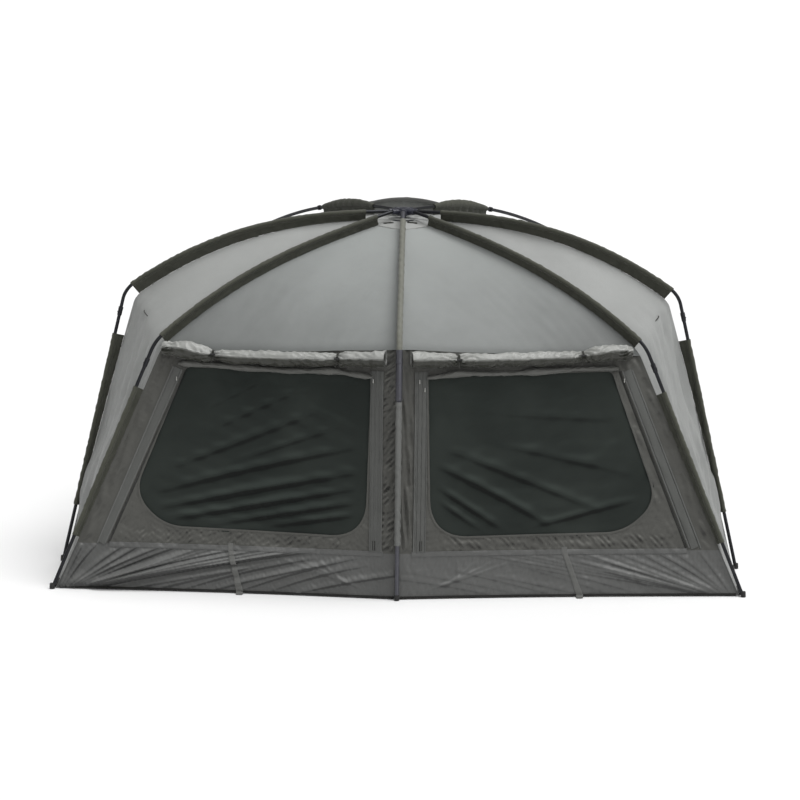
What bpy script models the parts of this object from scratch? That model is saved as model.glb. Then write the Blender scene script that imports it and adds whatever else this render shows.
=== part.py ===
"""Bivvy tent with an outside frame: seven curved ribs meet in a hub and carry the skin in sleeves.

Metres, +Z up. The front doors face -Y. The origin is on the ground, in the middle of the footprint.
"""
import math
from typing import NamedTuple

import bmesh
import bpy
from mathutils import Vector
from mathutils.bvhtree import BVHTree

# Fits
GAP = 0.0003
GROUND_GAP = 0.004

# Hub
HUB_HEIGHT = 1.50
HUB_BODY_RADIUS = 0.034
HUB_BODY_HEIGHT = 0.034
SOCKET_END = 0.062
SOCKET_DEPTH = 0.026
SOCKET_WALL = 0.0035
CURVE_START = 0.070
CROWN_RADIUS = 0.060
CROWN_WASHER_RADIUS = 0.064
CROWN_WASHER_THICKNESS = 0.004
HUB_STEM_RADIUS = 0.012

# Poles
POLE_RADIUS = 0.0075
FRONT_POLE_RADIUS = 0.0095
JOINT_TUBE_RADIUS = 0.0145
JOINT_WALL = 0.0035
FERRULE_LENGTH = 0.034
JOINT_TUBE_LENGTH = 0.165
ELBOW_REACH = 0.045
KNOB_BELOW_CORNER = 0.085
SPIGOT_LENGTH = 0.025
FOOT_RADIUS = 0.011
FOOT_HEIGHT = 0.022
FOOT_SHOULDER = 0.6
FOOT_TOP_SHARE = 0.8

# Sleeves and skin
SKIN = 0.003
CROWN_DEPTH = 0.037
FOOT_DEPTH = 0.0135
FIN_WIDTH = 0.003
FIN_LIFT = 0.0013
SLEEVE_WALL = 0.0018
SLEEVE_STOP = 0.005
JOINT_TUBE_CLEARANCE = 0.004
PANEL_SAG = 0.016

# Front doors and their windows, measured along x and z from the middle of the front
WINDOW_INNER = 0.120
WINDOW_OUTER_TOP = 0.910
WINDOW_OUTER_FOOT = 1.100
WINDOW_HEAD = 0.900
WINDOW_SILL = 0.250
WINDOW_INNER_CORNER = 0.130
WINDOW_OUTER_CORNER = 0.180
WINDOW_CORNER_STEPS = 4
CUTTER_FRONT = 1.200
CUTTER_BACK = 0.450
MESH_THICKNESS = 0.0012
ROLL_INNER = 0.045
ROLL_OUTER = 0.985
ROLL_RADIUS = 0.040
ROLL_HEIGHT = 0.966
ROLL_OUTER_HEIGHT = 0.978
ROLL_STEPS = 6
ROLL_SIDES = 12
STRAP_X = 0.700
STRAP_TOP = 0.200
STRAP_WIDTH = 0.028
STRAP_THICKNESS = 0.002
STRAP_STEPS = 6

# Rear vent: a hood between the rear ribs and the light panel under its brim, measured behind the hub
HOOD_ROWS = (0.300, 0.325, 0.380, 0.450, 0.530, 0.620)
HOOD_ACROSS = 6
HOOD_INSET = 0.0104
HOOD_EDGE_RISE = 0.040
HOOD_MIDDLE_RISE = 0.040
HOOD_FALL_POWER = 1.6
HOOD_SEAM = 0.0008
VENT_THICKNESS = 0.002
VENT_TOP_FIT = 0.0014

# Mesh resolution
ROOF_STEPS = 8
WALL_STEPS = 4
BEND_STEPS = 2
ACROSS = 4
POLE_SIDES = 10
RING_POINTS = 9
BORE_FOOT = 0.45
HUB_SIDES = 14
BORE_OVERCUT = 0.01
STEM_TOP_INSET = 0.01
RAY_START = 2.0


class Rib(NamedTuple):
    """One rib in its upright plane: it falls by slope * r + curve * r ** power from the hub.

    The upper sleeve runs from sleeve_start to sleeve_end, measured from the hub's axis, or to
    the elbow where sleeve_end is None. The lower one starts lower_start below the corner and ends
    lower_end above the ground. The skin lies elbow_depth inside the pole's centre line at the
    elbow, and closes up to the foot by the power taper.
    """
    name: str
    azimuth: float
    slope: float
    curve: float
    power: float
    corner: float
    foot: float
    shift: float
    radius: float
    tube: float
    sleeve_start: float
    sleeve_end: float | None
    lower_start: float
    lower_end: float
    elbow_depth: float
    taper: float


FRONT_FOOT = 1.061
REAR_FOOT = 1.540
REAR_AZIMUTH = 145.0
RIB_SHIFT = 0.007
CENTRE_LOWER_START = KNOB_BELOW_CORNER + JOINT_TUBE_LENGTH + JOINT_TUBE_CLEARANCE


def mirrored(left):
    """The right rib of a pair."""
    return left._replace(name=left.name.replace("left", "right"), azimuth=-left.azimuth, shift=-left.shift)


CENTRE = Rib(
    name="front_centre", azimuth=0.0, slope=0.385, curve=0.20, power=2, corner=0.870, foot=FRONT_FOOT,
    shift=0.0, radius=FRONT_POLE_RADIUS, tube=JOINT_TUBE_RADIUS, sleeve_start=0.134, sleeve_end=None,
    lower_start=CENTRE_LOWER_START, lower_end=0.225, elbow_depth=0.050, taper=1.0)
FRONT_LEFT = Rib(
    name="front_left", azimuth=57.6, slope=0.236, curve=0.132, power=2.85, corner=1.236, foot=1.730,
    shift=-RIB_SHIFT, radius=POLE_RADIUS, tube=POLE_RADIUS, sleeve_start=0.142, sleeve_end=None,
    lower_start=0.210, lower_end=0.220, elbow_depth=0.041, taper=0.6)
SIDE_LEFT = Rib(
    name="side_left", azimuth=72.8, slope=-0.012, curve=0.2094, power=2.52, corner=1.252, foot=REAR_FOOT,
    shift=RIB_SHIFT, radius=POLE_RADIUS, tube=POLE_RADIUS, sleeve_start=0.172, sleeve_end=None,
    lower_start=0.200, lower_end=0.250, elbow_depth=0.052, taper=1.7)
REAR_LEFT = Rib(
    name="rear_left", azimuth=REAR_AZIMUTH, slope=-0.010, curve=0.172, power=2, corner=1.240, foot=REAR_FOOT,
    shift=0.0, radius=POLE_RADIUS, tube=POLE_RADIUS, sleeve_start=0.235, sleeve_end=0.655,
    lower_start=0.200, lower_end=0.250, elbow_depth=0.052, taper=1.7)
FRONT_RIGHT, SIDE_RIGHT, REAR_RIGHT = mirrored(FRONT_LEFT), mirrored(SIDE_LEFT), mirrored(REAR_LEFT)
RIBS = (CENTRE, FRONT_LEFT, FRONT_RIGHT, SIDE_LEFT, SIDE_RIGHT, REAR_LEFT, REAR_RIGHT)

# The hub stands where the front and rear feet are equally far from the origin
REAR_REACH = REAR_FOOT * -math.cos(math.radians(REAR_AZIMUTH))
HUB_Y = (FRONT_FOOT - REAR_REACH) / 2

# name: colour, roughness, metallic
FINISHES = {
    "roof_cloth": ((0.30, 0.31, 0.29), 0.55, 0.0),
    "door_cloth": ((0.10, 0.105, 0.095), 0.75, 0.0),
    "sleeve_cloth": ((0.06, 0.065, 0.055), 0.80, 0.0),
    "window_mesh": ((0.02, 0.028, 0.024), 0.85, 0.0),
    "pole": ((0.035, 0.036, 0.034), 0.35, 0.6),
    "hub_plastic": ((0.02, 0.022, 0.026), 0.45, 0.0),
    "foot_rubber": ((0.015, 0.015, 0.015), 0.8, 0.0),
}


def clear_scene():
    """Remove whatever the opened file holds."""
    for obj in list(bpy.data.objects):
        bpy.data.objects.remove(obj)


def finish(obj, finish_name):
    """Give the object its own Principled material."""
    colour, roughness, metallic = FINISHES[finish_name]
    material = bpy.data.materials.new(obj.name + "_" + finish_name)
    material.use_nodes = True
    shader = material.node_tree.nodes["Principled BSDF"]
    shader.inputs["Base Color"].default_value = (*colour, 1.0)
    shader.inputs["Roughness"].default_value = roughness
    shader.inputs["Metallic"].default_value = metallic
    obj.data.materials.append(material)


def make_object(name, verts, faces, finish_name, smooth=False):
    """A closed mesh object whose faces all point out."""
    mesh = bpy.data.meshes.new(name)
    work = bmesh.new()
    corners = [work.verts.new(v) for v in verts]
    for face in faces:
        work.faces.new([corners[i] for i in face])
    bmesh.ops.recalc_face_normals(work, faces=work.faces)
    if work.calc_volume(signed=True) < 0:
        bmesh.ops.reverse_faces(work, faces=work.faces)
    work.to_mesh(mesh)
    work.free()
    obj = bpy.data.objects.new(name, mesh)
    bpy.context.scene.collection.objects.link(obj)
    if smooth:
        mesh.shade_smooth()
        mesh.set_sharp_from_angle(angle=math.radians(40))
    finish(obj, finish_name)
    return obj


def combine(obj, tool, operation):
    """Apply an exact Boolean with a tool object, then drop the tool."""
    modifier = obj.modifiers.new(operation.lower(), "BOOLEAN")
    modifier.operation = operation
    modifier.solver = "EXACT"
    modifier.object = tool
    graph = bpy.context.evaluated_depsgraph_get()
    mesh = bpy.data.meshes.new_from_object(obj.evaluated_get(graph))
    obj.modifiers.remove(modifier)
    obj.data = mesh
    bpy.data.objects.remove(tool)


def loft(name, rings, finish_name, smooth=False):
    """Join equal rings of points into one closed body with a flat cap at each end."""
    count = len(rings[0])
    verts = [v for ring in rings for v in ring]
    faces = [list(range(count)), list(range(len(verts) - count, len(verts)))]
    for i in range(len(rings) - 1):
        for j in range(count):
            k = (j + 1) % count
            faces.append([i * count + j, i * count + k, (i + 1) * count + k, (i + 1) * count + j])
    return make_object(name, verts, faces, finish_name, smooth)


def hollow_loft(name, outers, inners, finish_name):
    """A loft with a bore: outer and inner rings with the same number of points."""
    count = len(outers[0])
    steps = len(outers)
    verts = [v for ring in outers + inners for v in ring]
    bore = steps * count
    faces = []
    for j in range(count):
        k = (j + 1) % count
        for i in range(steps - 1):
            low, high = i * count, (i + 1) * count
            faces.append([low + j, low + k, high + k, high + j])
            faces.append([bore + low + j, bore + low + k, bore + high + k, bore + high + j])
        for end in (0, (steps - 1) * count):
            faces.append([end + j, end + k, bore + end + k, bore + end + j])
    return make_object(name, verts, faces, finish_name)


def grid_triangles(rows, columns):
    """Triangles of a grid of points, stored row by row."""
    triangles = []
    for i in range(rows - 1):
        for j in range(columns - 1):
            a, b = i * columns + j, (i + 1) * columns + j
            triangles += [[a, a + 1, b + 1], [a, b + 1, b]]
    return triangles


def sheet(name, outer, inner, finish_name):
    """Close two equal grids of points, the outer and the inner face of a cloth, into one body."""
    rows, columns = len(outer), len(outer[0])
    verts = [v for row in outer for v in row] + [v for row in inner for v in row]
    half = rows * columns
    faces = []
    for triangle in grid_triangles(rows, columns):
        faces.append(triangle)
        faces.append([half + corner for corner in reversed(triangle)])
    rim = [(0, j) for j in range(columns)] + [(i, columns - 1) for i in range(1, rows)]
    rim += [(rows - 1, j) for j in range(columns - 2, -1, -1)] + [(i, 0) for i in range(rows - 2, 0, -1)]
    for (i, j), (k, m) in zip(rim, rim[1:] + rim[:1]):
        a, b = i * columns + j, k * columns + m
        faces.append([a, b, half + b, half + a])
    return make_object(name, verts, faces, finish_name)


def outward(azimuth):
    """Level unit vector away from the hub; azimuth 0 looks to the front, positive to the left."""
    angle = math.radians(azimuth)
    return Vector((-math.sin(angle), -math.cos(angle), 0.0))


def sideways(azimuth):
    """Level unit vector square to a rib's upright plane, towards larger azimuths."""
    angle = math.radians(azimuth)
    return Vector((-math.cos(angle), math.sin(angle), 0.0))


def in_space(rib, point, across=0.0):
    """A point (r, z) of the rib's plane, moved across it, in world space."""
    place = outward(rib.azimuth) * point[0] + sideways(rib.azimuth) * (across + rib.shift)
    return Vector((0.0, HUB_Y, 0.0)) + place + Vector((0.0, 0.0, point[1]))


def height(rib, r):
    """Height of the upper pole's centre line at a distance from the hub's axis."""
    reach = max(0.0, r - CURVE_START)
    return HUB_HEIGHT - rib.slope * reach - rib.curve * reach ** rib.power


def corner_point(rib):
    """Where the upper curve and the leg would meet without the bend."""
    return Vector((rib.corner, height(rib, rib.corner)))


def leg_direction(rib):
    """Unit vector down the leg, in the rib's plane."""
    return (Vector((rib.foot, 0.0)) - corner_point(rib)).normalized()


def leg_point(rib, below_corner):
    """A point of the leg's centre line, at a distance below the corner."""
    return corner_point(rib) + leg_direction(rib) * below_corner


def at_height(rib, z):
    """The point of the leg's centre line at a height above the ground."""
    way = leg_direction(rib)
    return corner_point(rib) + way * ((z - corner_point(rib).y) / way.y)


def bend_points(rib):
    """The rounded elbow: a curve from the upper pole to the leg, around the corner."""
    start_r = rib.corner - ELBOW_REACH
    start = Vector((start_r, height(rib, start_r)))
    corner, end = corner_point(rib), leg_point(rib, ELBOW_REACH)
    points = []
    for i in range(2 * BEND_STEPS + 1):
        t = i / (2 * BEND_STEPS)
        points.append(start * (1 - t) ** 2 + corner * 2 * t * (1 - t) + end * t ** 2)
    return points


def upper_line(rib):
    """Points of the upper curve from the start of its sleeve to the start of the elbow."""
    stop = rib.corner - ELBOW_REACH - SLEEVE_STOP
    middle = rib.sleeve_end or (rib.sleeve_start + stop) / 2
    half = ROOF_STEPS // 2
    reaches = [rib.sleeve_start + (middle - rib.sleeve_start) * i / half for i in range(half)]
    reaches += [middle + (stop - middle) * i / half for i in range(half + 1)]
    reaches.append(rib.corner - ELBOW_REACH)
    return [Vector((r, height(rib, r))) for r in reaches]


def normals(line):
    """Outward unit normals of a line in a rib's plane."""
    result = []
    for i in range(len(line)):
        way = (line[min(i + 1, len(line) - 1)] - line[max(i - 1, 0)]).normalized()
        result.append(Vector((-way.y, way.x)))
    return result


def roof_line(rib):
    """Centre line over the roof: from the crown to the middle of the elbow."""
    crown = Vector((CROWN_RADIUS, height(rib, CROWN_RADIUS)))
    return [crown] + upper_line(rib) + bend_points(rib)[1:BEND_STEPS + 1]


def wall_line(rib):
    """Centre line down the wall: from the middle of the elbow to the ground."""
    top, hem = leg_point(rib, ELBOW_REACH), at_height(rib, rib.lower_end)
    straight = [top.lerp(hem, i / WALL_STEPS) for i in range(1, WALL_STEPS + 1)]
    return bend_points(rib)[BEND_STEPS:] + straight + [at_height(rib, GROUND_GAP)]


def seam_depth(rib, point):
    """How far the skin lies inside the pole's centre line: it grows to the elbow and closes to the foot."""
    out = min(1.0, (point.x - CROWN_RADIUS) / (rib.corner - CROWN_RADIUS))
    up = min(1.0, max(0.0, point.y / corner_point(rib).y))
    over_roof = CROWN_DEPTH + (rib.elbow_depth - CROWN_DEPTH) * out
    down_leg = FOOT_DEPTH + (rib.elbow_depth - FOOT_DEPTH) * up ** rib.taper
    return min(over_roof, down_leg)


def seam(rib, part):
    """The skin's outer line and its normals in the rib's plane, for the roof, the wall or both."""
    whole = roof_line(rib) + wall_line(rib)[1:]
    normal = normals(whole)
    normal[0] = Vector((0.0, 1.0))
    line = []
    for point, out in zip(whole, normal):
        line.append(point - out * seam_depth(rib, point))
    line[-1].y = GROUND_GAP
    eave = len(roof_line(rib)) - 1
    cut = {"roof": slice(0, eave + 1), "wall": slice(eave, None), "all": slice(None)}[part]
    line, normal = line[cut], normal[cut]
    if part == "roof":
        line[-1] = line[-1] + (line[-2] - line[-1]).normalized() * GAP
    if part == "wall":
        line[0] = line[0] + (line[1] - line[0]).normalized() * GAP
    return line, normal


def panel_grids(rib_a, rib_b, part, depth=0.0, thickness=SKIN, trim=GAP):
    """Outer and inner points of the cloth between two ribs; rib_b has the larger azimuth."""
    line_a, normal_a = seam(rib_a, part)
    line_b, normal_b = seam(rib_b, part)
    outer, inner = [], []
    for i in range(len(line_a)):
        out_a, out_b = outward(rib_a.azimuth), outward(rib_b.azimuth)
        lift = Vector((0.0, 0.0, 1.0))
        edge_a = in_space(rib_a, line_a[i], trim)
        edge_b = in_space(rib_b, line_b[i], -trim)
        way_a = out_a * normal_a[i].x + lift * normal_a[i].y
        way_b = out_b * normal_b[i].x + lift * normal_b[i].y
        outer_row, inner_row = [], []
        for j in range(ACROSS + 1):
            t = j / ACROSS
            way = way_a.lerp(way_b, t).normalized()
            span = min(1.0, (edge_a - edge_b).length)
            face = edge_a.lerp(edge_b, t) - way * (PANEL_SAG * span * 4 * t * (1 - t))
            outer_row.append(face - way * depth)
            inner_row.append(face - way * (depth + thickness))
        outer.append(outer_row)
        inner.append(inner_row)
    level_base(outer, inner, part)
    return outer, inner


def level_base(outer, inner, part):
    """Set the lowest row of a wall level, just clear of the ground."""
    if part == "roof":
        return
    for row in (outer[-1], inner[-1]):
        for point in row:
            point.z = GROUND_GAP


def panel(name, rib_a, rib_b, part, finish_name):
    """One cloth panel between two ribs."""
    outer, inner = panel_grids(rib_a, rib_b, part)
    return sheet(name, outer, inner, finish_name)


def pole_ring(rib, point, out, radius):
    """A round section of a pole, square to its centre line."""
    ring = []
    for i in range(POLE_SIDES):
        angle = 2 * math.pi * i / POLE_SIDES
        shifted = point + out * (radius * math.cos(angle))
        ring.append(in_space(rib, shifted, radius * math.sin(angle)))
    return ring


def make_rib(rib):
    """Upper pole with its bent elbow, from the hub's socket to the spigot in the leg."""
    start = SOCKET_END - SOCKET_DEPTH + GAP
    line = [Vector((start, HUB_HEIGHT)), Vector((CURVE_START, HUB_HEIGHT))] + upper_line(rib)
    radii = [rib.radius] * len(line)
    bend = bend_points(rib)
    line += bend[1:]
    radii += [rib.tube if rib.tube > rib.radius else rib.radius] * (len(bend) - 1)
    shoulder = leg_point(rib, KNOB_BELOW_CORNER - GAP)
    line += [shoulder, shoulder, leg_point(rib, KNOB_BELOW_CORNER + SPIGOT_LENGTH - GAP)]
    radii += [max(rib.tube, rib.radius), rib.radius, rib.radius]
    if rib.tube == rib.radius:
        line.pop(-2)
        radii.pop(-2)
    out = normals(line)
    way = leg_direction(rib)
    for i in range(len(line) - 3, len(line)):
        out[i] = Vector((-way.y, way.x))
    rings = [pole_ring(rib, p, n, r) for p, n, r in zip(line, out, radii)]
    return loft("rib_" + rib.name, rings, "pole", smooth=True)


def make_leg(rib):
    """Lower pole: a ferrule that takes the elbow's spigot, the tube, and a rubber foot."""
    way = leg_direction(rib)
    out = Vector((-way.y, way.x))
    bore = rib.radius + GAP
    ferrule = max(rib.tube, rib.radius + JOINT_WALL)
    length = JOINT_TUBE_LENGTH if rib.tube > rib.radius else FERRULE_LENGTH
    top = KNOB_BELOW_CORNER
    end = (at_height(rib, FOOT_HEIGHT / 2) - corner_point(rib)).length
    profile = [
        (top + SPIGOT_LENGTH, bore), (top, bore), (top, ferrule),
        (top + length, ferrule), (top + length, rib.radius), (end, rib.radius),
    ]
    rings = [pole_ring(rib, leg_point(rib, s), out, r) for s, r in profile]
    leg = loft("leg_" + rib.name, rings, "pole", smooth=True)
    foot = make_foot(rib)
    combine(leg, foot, "UNION")
    return leg


def make_foot(rib):
    """A short upright rubber foot, flat on the ground."""
    centre = in_space(rib, Vector((rib.foot, 0.0)))
    rings = []
    shoulder, top = (FOOT_HEIGHT * FOOT_SHOULDER, FOOT_RADIUS), (FOOT_HEIGHT, FOOT_RADIUS * FOOT_TOP_SHARE)
    for z, radius in ((0.0, FOOT_RADIUS), shoulder, top):
        ring = []
        for i in range(POLE_SIDES):
            angle = 2 * math.pi * i / POLE_SIDES
            ring.append(centre + Vector((radius * math.cos(angle), radius * math.sin(angle), z)))
        rings.append(ring)
    return loft("foot", rings, "foot_rubber")


def sleeve_rings(rib, point, out):
    """Keyhole section of a sleeve: a tube round the pole on a fin that stands on the skin."""
    turn = (2 * math.pi - 2 * BORE_FOOT) / (RING_POINTS - 1)
    bore = (rib.radius + GAP) / math.cos(turn / 2)
    tube = bore + SLEEVE_WALL
    root = seam_depth(rib, point) - FIN_LIFT
    half = FIN_WIDTH / 2
    edge = -math.pi / 2 + math.asin(half / tube)
    span = 2 * math.pi - 2 * math.asin(half / tube)
    outer = [(-root, half)]
    inner = [BORE_FOOT / 2 - math.pi / 2]
    for i in range(RING_POINTS):
        angle = edge + span * i / (RING_POINTS - 1)
        outer.append((tube * math.sin(angle), tube * math.cos(angle)))
        inner.append(BORE_FOOT - math.pi / 2 + turn * i)
    outer.append((-root, -half))
    inner.append(1.5 * math.pi - BORE_FOOT / 2)
    outer_ring = [in_space(rib, point + out * n, b) for n, b in outer]
    inner_ring = [in_space(rib, point + out * bore * math.sin(a), bore * math.cos(a)) for a in inner]
    return outer_ring, inner_ring


def make_sleeve(name, rib, line, out):
    """Sweep the keyhole section along a part of a rib."""
    sections = [sleeve_rings(rib, p, n) for p, n in zip(line, out)]
    return hollow_loft(name, [s[0] for s in sections], [s[1] for s in sections], "sleeve_cloth")


def make_sleeves(rib):
    """The upper sleeve over the roof and the lower one on the leg."""
    steps = ROOF_STEPS // 2 if rib.sleeve_end else ROOF_STEPS
    over_roof = slice(1, steps + 2)
    line = roof_line(rib)
    make_sleeve("upper_sleeve_" + rib.name, rib, line[over_roof], normals(line)[over_roof])
    way = leg_direction(rib)
    out = Vector((-way.y, way.x))
    top, end = leg_point(rib, rib.lower_start), at_height(rib, rib.lower_end)
    line = [top.lerp(end, i / WALL_STEPS) for i in range(WALL_STEPS + 1)]
    make_sleeve("lower_sleeve_" + rib.name, rib, line, [out] * len(line))


def cylinder(name, centre, axis, length, radius, sides=12):
    """A plain round bar along an axis from a centre point."""
    axis = axis.normalized()
    first = axis.orthogonal().normalized()
    second = axis.cross(first)
    rings = []
    for s in (0.0, length):
        ring = []
        for i in range(sides):
            angle = 2 * math.pi * i / sides
            way = first * math.cos(angle) + second * math.sin(angle)
            ring.append(centre + axis * s + way * radius)
        rings.append(ring)
    return loft(name, rings, "hub_plastic")


def make_hub():
    """Hub body with a socket for each rib, on a stem that clamps the crown of the roof."""
    top = HUB_HEIGHT + HUB_BODY_HEIGHT / 2
    crown = HUB_HEIGHT - CROWN_DEPTH + GAP
    up = Vector((0.0, 0.0, 1.0))
    base = Vector((0.0, HUB_Y, HUB_HEIGHT - HUB_BODY_HEIGHT / 2))
    hub = cylinder("hub_boss", base, up, HUB_BODY_HEIGHT, HUB_BODY_RADIUS, HUB_SIDES)
    foot = Vector((0.0, HUB_Y, crown))
    stem = cylinder("stem", foot, up, top - crown - STEM_TOP_INSET, HUB_STEM_RADIUS)
    combine(hub, stem, "UNION")
    washer = cylinder("washer", foot, up, CROWN_WASHER_THICKNESS, CROWN_WASHER_RADIUS, HUB_SIDES)
    combine(hub, washer, "UNION")
    middle = Vector((0.0, HUB_Y, HUB_HEIGHT))
    for rib in RIBS:
        radius = rib.radius + SOCKET_WALL
        root = middle + sideways(rib.azimuth) * rib.shift
        combine(hub, cylinder("socket", root, outward(rib.azimuth), SOCKET_END, radius), "UNION")
    for rib in RIBS:
        start = in_space(rib, Vector((SOCKET_END - SOCKET_DEPTH, HUB_HEIGHT)))
        length, radius = SOCKET_DEPTH + BORE_OVERCUT, rib.radius + 2 * GAP
        bore = cylinder("bore", start, outward(rib.azimuth), length, radius)
        combine(hub, bore, "DIFFERENCE")
    return hub


def window_outline(side, shrink):
    """Corner points of a door's window as (x, z), rounded at the two lower corners."""
    inner, head, sill = WINDOW_INNER + shrink, WINDOW_HEAD - shrink, WINDOW_SILL + shrink
    top_outer = WINDOW_OUTER_TOP - shrink
    foot_outer = WINDOW_OUTER_FOOT - shrink
    points = [(inner, head)]
    first = (inner + WINDOW_INNER_CORNER, WINDOW_INNER_CORNER, math.pi)
    second = (foot_outer - WINDOW_OUTER_CORNER, WINDOW_OUTER_CORNER, 1.5 * math.pi)
    for centre, radius, start in (first, second):
        for i in range(WINDOW_CORNER_STEPS + 1):
            angle = start + (math.pi / 2) * i / WINDOW_CORNER_STEPS
            points.append((centre + radius * math.cos(angle), sill + radius + radius * math.sin(angle)))
    points.append((top_outer, head))
    return [(side * x, z) for x, z in points]


def window_cutter(side, shrink):
    """A prism through the front wall with the window's outline."""
    front, back = HUB_Y - CUTTER_FRONT, HUB_Y - CUTTER_BACK
    rings =[[Vector((x, y, z)) for x, z in window_outline(side, shrink)] for y in (front, back)]
    return loft("cutter", rings, "window_mesh")


def door_ribs(side):
    """The two ribs beside a door, in the order that panel_grids takes."""
    return (CENTRE, FRONT_LEFT) if side < 0 else (FRONT_RIGHT, CENTRE)


def make_door(side, word):
    """Front door panel with its window cut through, and the mesh that fills the window."""
    door = panel("door_" + word, *door_ribs(side), "wall", "door_cloth")
    combine(door, window_cutter(side, 0.0), "DIFFERENCE")
    inset = (SKIN - MESH_THICKNESS) / 2
    outer, inner = panel_grids(*door_ribs(side), "wall", inset, MESH_THICKNESS)
    net = sheet("window_mesh_" + word, outer, inner, "window_mesh")
    combine(net, window_cutter(side, GAP), "INTERSECT")


def face_tree(outer):
    """Search tree over the outer face of a panel."""
    return BVHTree.FromPolygons([p for row in outer for p in row], grid_triangles(len(outer), len(outer[0])))


def wall_surface(side, x, z):
    """Point of a door's outer face at x and z, and its outward normal."""
    outer, _ = panel_grids(*door_ribs(side), "wall")
    start = Vector((x, HUB_Y - RAY_START, z))
    place, normal, _, _ = face_tree(outer).ray_cast(start, Vector((0.0, 1.0, 0.0)))
    return place, (normal if normal.y < 0 else -normal)


def make_roll(side, word):
    """Rolled-up window cover, tied along the head of a door."""
    rings = []
    for i in range(ROLL_STEPS + 1):
        share = i / ROLL_STEPS
        x = side * (ROLL_INNER + (ROLL_OUTER - ROLL_INNER) * share)
        face, normal = wall_surface(side, x, ROLL_HEIGHT + (ROLL_OUTER_HEIGHT - ROLL_HEIGHT) * share)
        centre = face + normal * (ROLL_RADIUS + 2 * GAP)
        up = Vector((0.0, 0.0, 1.0))
        up = (up - normal * up.dot(normal)).normalized()
        ring = []
        for k in range(ROLL_SIDES):
            angle = 2 * math.pi * k / ROLL_SIDES
            ring.append(centre + (normal * math.cos(angle) + up * math.sin(angle)) * ROLL_RADIUS)
        rings.append(ring)
    return loft("window_roll_" + word, rings, "door_cloth", smooth=True)


def make_strap(side, word):
    """Webbing strap from the hem seam of a door down to the ground."""
    rings = []
    half = Vector((STRAP_WIDTH / 2, 0.0, 0.0))
    for i in range(STRAP_STEPS + 1):
        z = GROUND_GAP + GAP + (STRAP_TOP - GROUND_GAP) * i / STRAP_STEPS
        spots = [wall_surface(side, side * STRAP_X + step, z)[0] for step in (-half.x, 0.0, half.x)]
        near = Vector((side * STRAP_X, min(spot.y for spot in spots) - 2 * GAP, z))
        far = near - Vector((0.0, STRAP_THICKNESS, 0.0))
        rings.append([near - half, near + half, far + half, far - half])
    return loft("strap_" + word, rings, "sleeve_cloth")


def rear_ribs():
    """The two rear ribs in the order that panel_grids takes, across the back."""
    return REAR_LEFT, REAR_RIGHT._replace(azimuth=360.0 + REAR_RIGHT.azimuth)


def hood_rows():
    """Rows of (x, y, height of the roof, rise of the hood over it), from the brim to the back."""
    outer, _ = panel_grids(*rear_ribs(), "all")
    tree = face_tree(outer)
    spread = math.radians(180.0 - REAR_AZIMUTH)
    rows = []
    for back in HOOD_ROWS:
        half = back * math.tan(spread) - HOOD_INSET / math.cos(spread)
        share = (back - HOOD_ROWS[0]) / (HOOD_ROWS[-1] - HOOD_ROWS[0])
        fall = 1.0 - share ** HOOD_FALL_POWER
        row = []
        for j in range(HOOD_ACROSS + 1):
            u = 2 * j / HOOD_ACROSS - 1.0
            start = Vector((u * half, HUB_Y + back, RAY_START))
            roof = tree.ray_cast(start, Vector((0.0, 0.0, -1.0)))[0]
            rise = HOOD_SEAM + fall * (HOOD_EDGE_RISE + HOOD_MIDDLE_RISE * (1.0 - u * u))
            row.append((start.x, start.y, roof.z, rise))
        rows.append(row)
    return rows


def make_vent():
    """The cloth hood over the rear vent, and the light panel that stands under its brim."""
    rows = hood_rows()
    upper = [[Vector((x, y, roof + rise + SKIN)) for x, y, roof, rise in row] for row in rows]
    lower = [[Vector((x, y, roof + rise)) for x, y, roof, rise in row] for row in rows]
    sheet("vent_hood", upper, lower, "sleeve_cloth")
    step = Vector((0.0, VENT_THICKNESS, 0.0))
    front = []
    for share in (0.0, 1.0):
        front.append([Vector((x, y, roof + GAP + share * (rise - VENT_TOP_FIT))) for x, y, roof, rise in rows[1]])
    back = [[point + step for point in row] for row in front]
    sheet("vent_panel", front, back, "roof_cloth")


def make_panels():
    """All the cloth between the ribs."""
    panel("roof_front_left", CENTRE, FRONT_LEFT, "roof", "roof_cloth")
    panel("roof_front_right", FRONT_RIGHT, CENTRE, "roof", "roof_cloth")
    panel("side_panel_left", FRONT_LEFT, SIDE_LEFT, "all", "roof_cloth")
    panel("side_panel_right", SIDE_RIGHT, FRONT_RIGHT, "all", "roof_cloth")
    panel("rear_side_panel_left", SIDE_LEFT, REAR_LEFT, "all", "roof_cloth")
    panel("rear_side_panel_right", REAR_RIGHT, SIDE_RIGHT, "all", "roof_cloth")
    panel("rear_panel", *rear_ribs(), "all", "roof_cloth")


def main():
    """Build every piece."""
    clear_scene()
    make_hub()
    for rib in RIBS:
        make_rib(rib)
        make_leg(rib)
        make_sleeves(rib)
    make_panels()
    make_vent()
    for side, word in ((-1, "left"), (1, "right")):
        make_door(side, word)
        make_roll(side, word)
        make_strap(side, word)


main()
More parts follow.
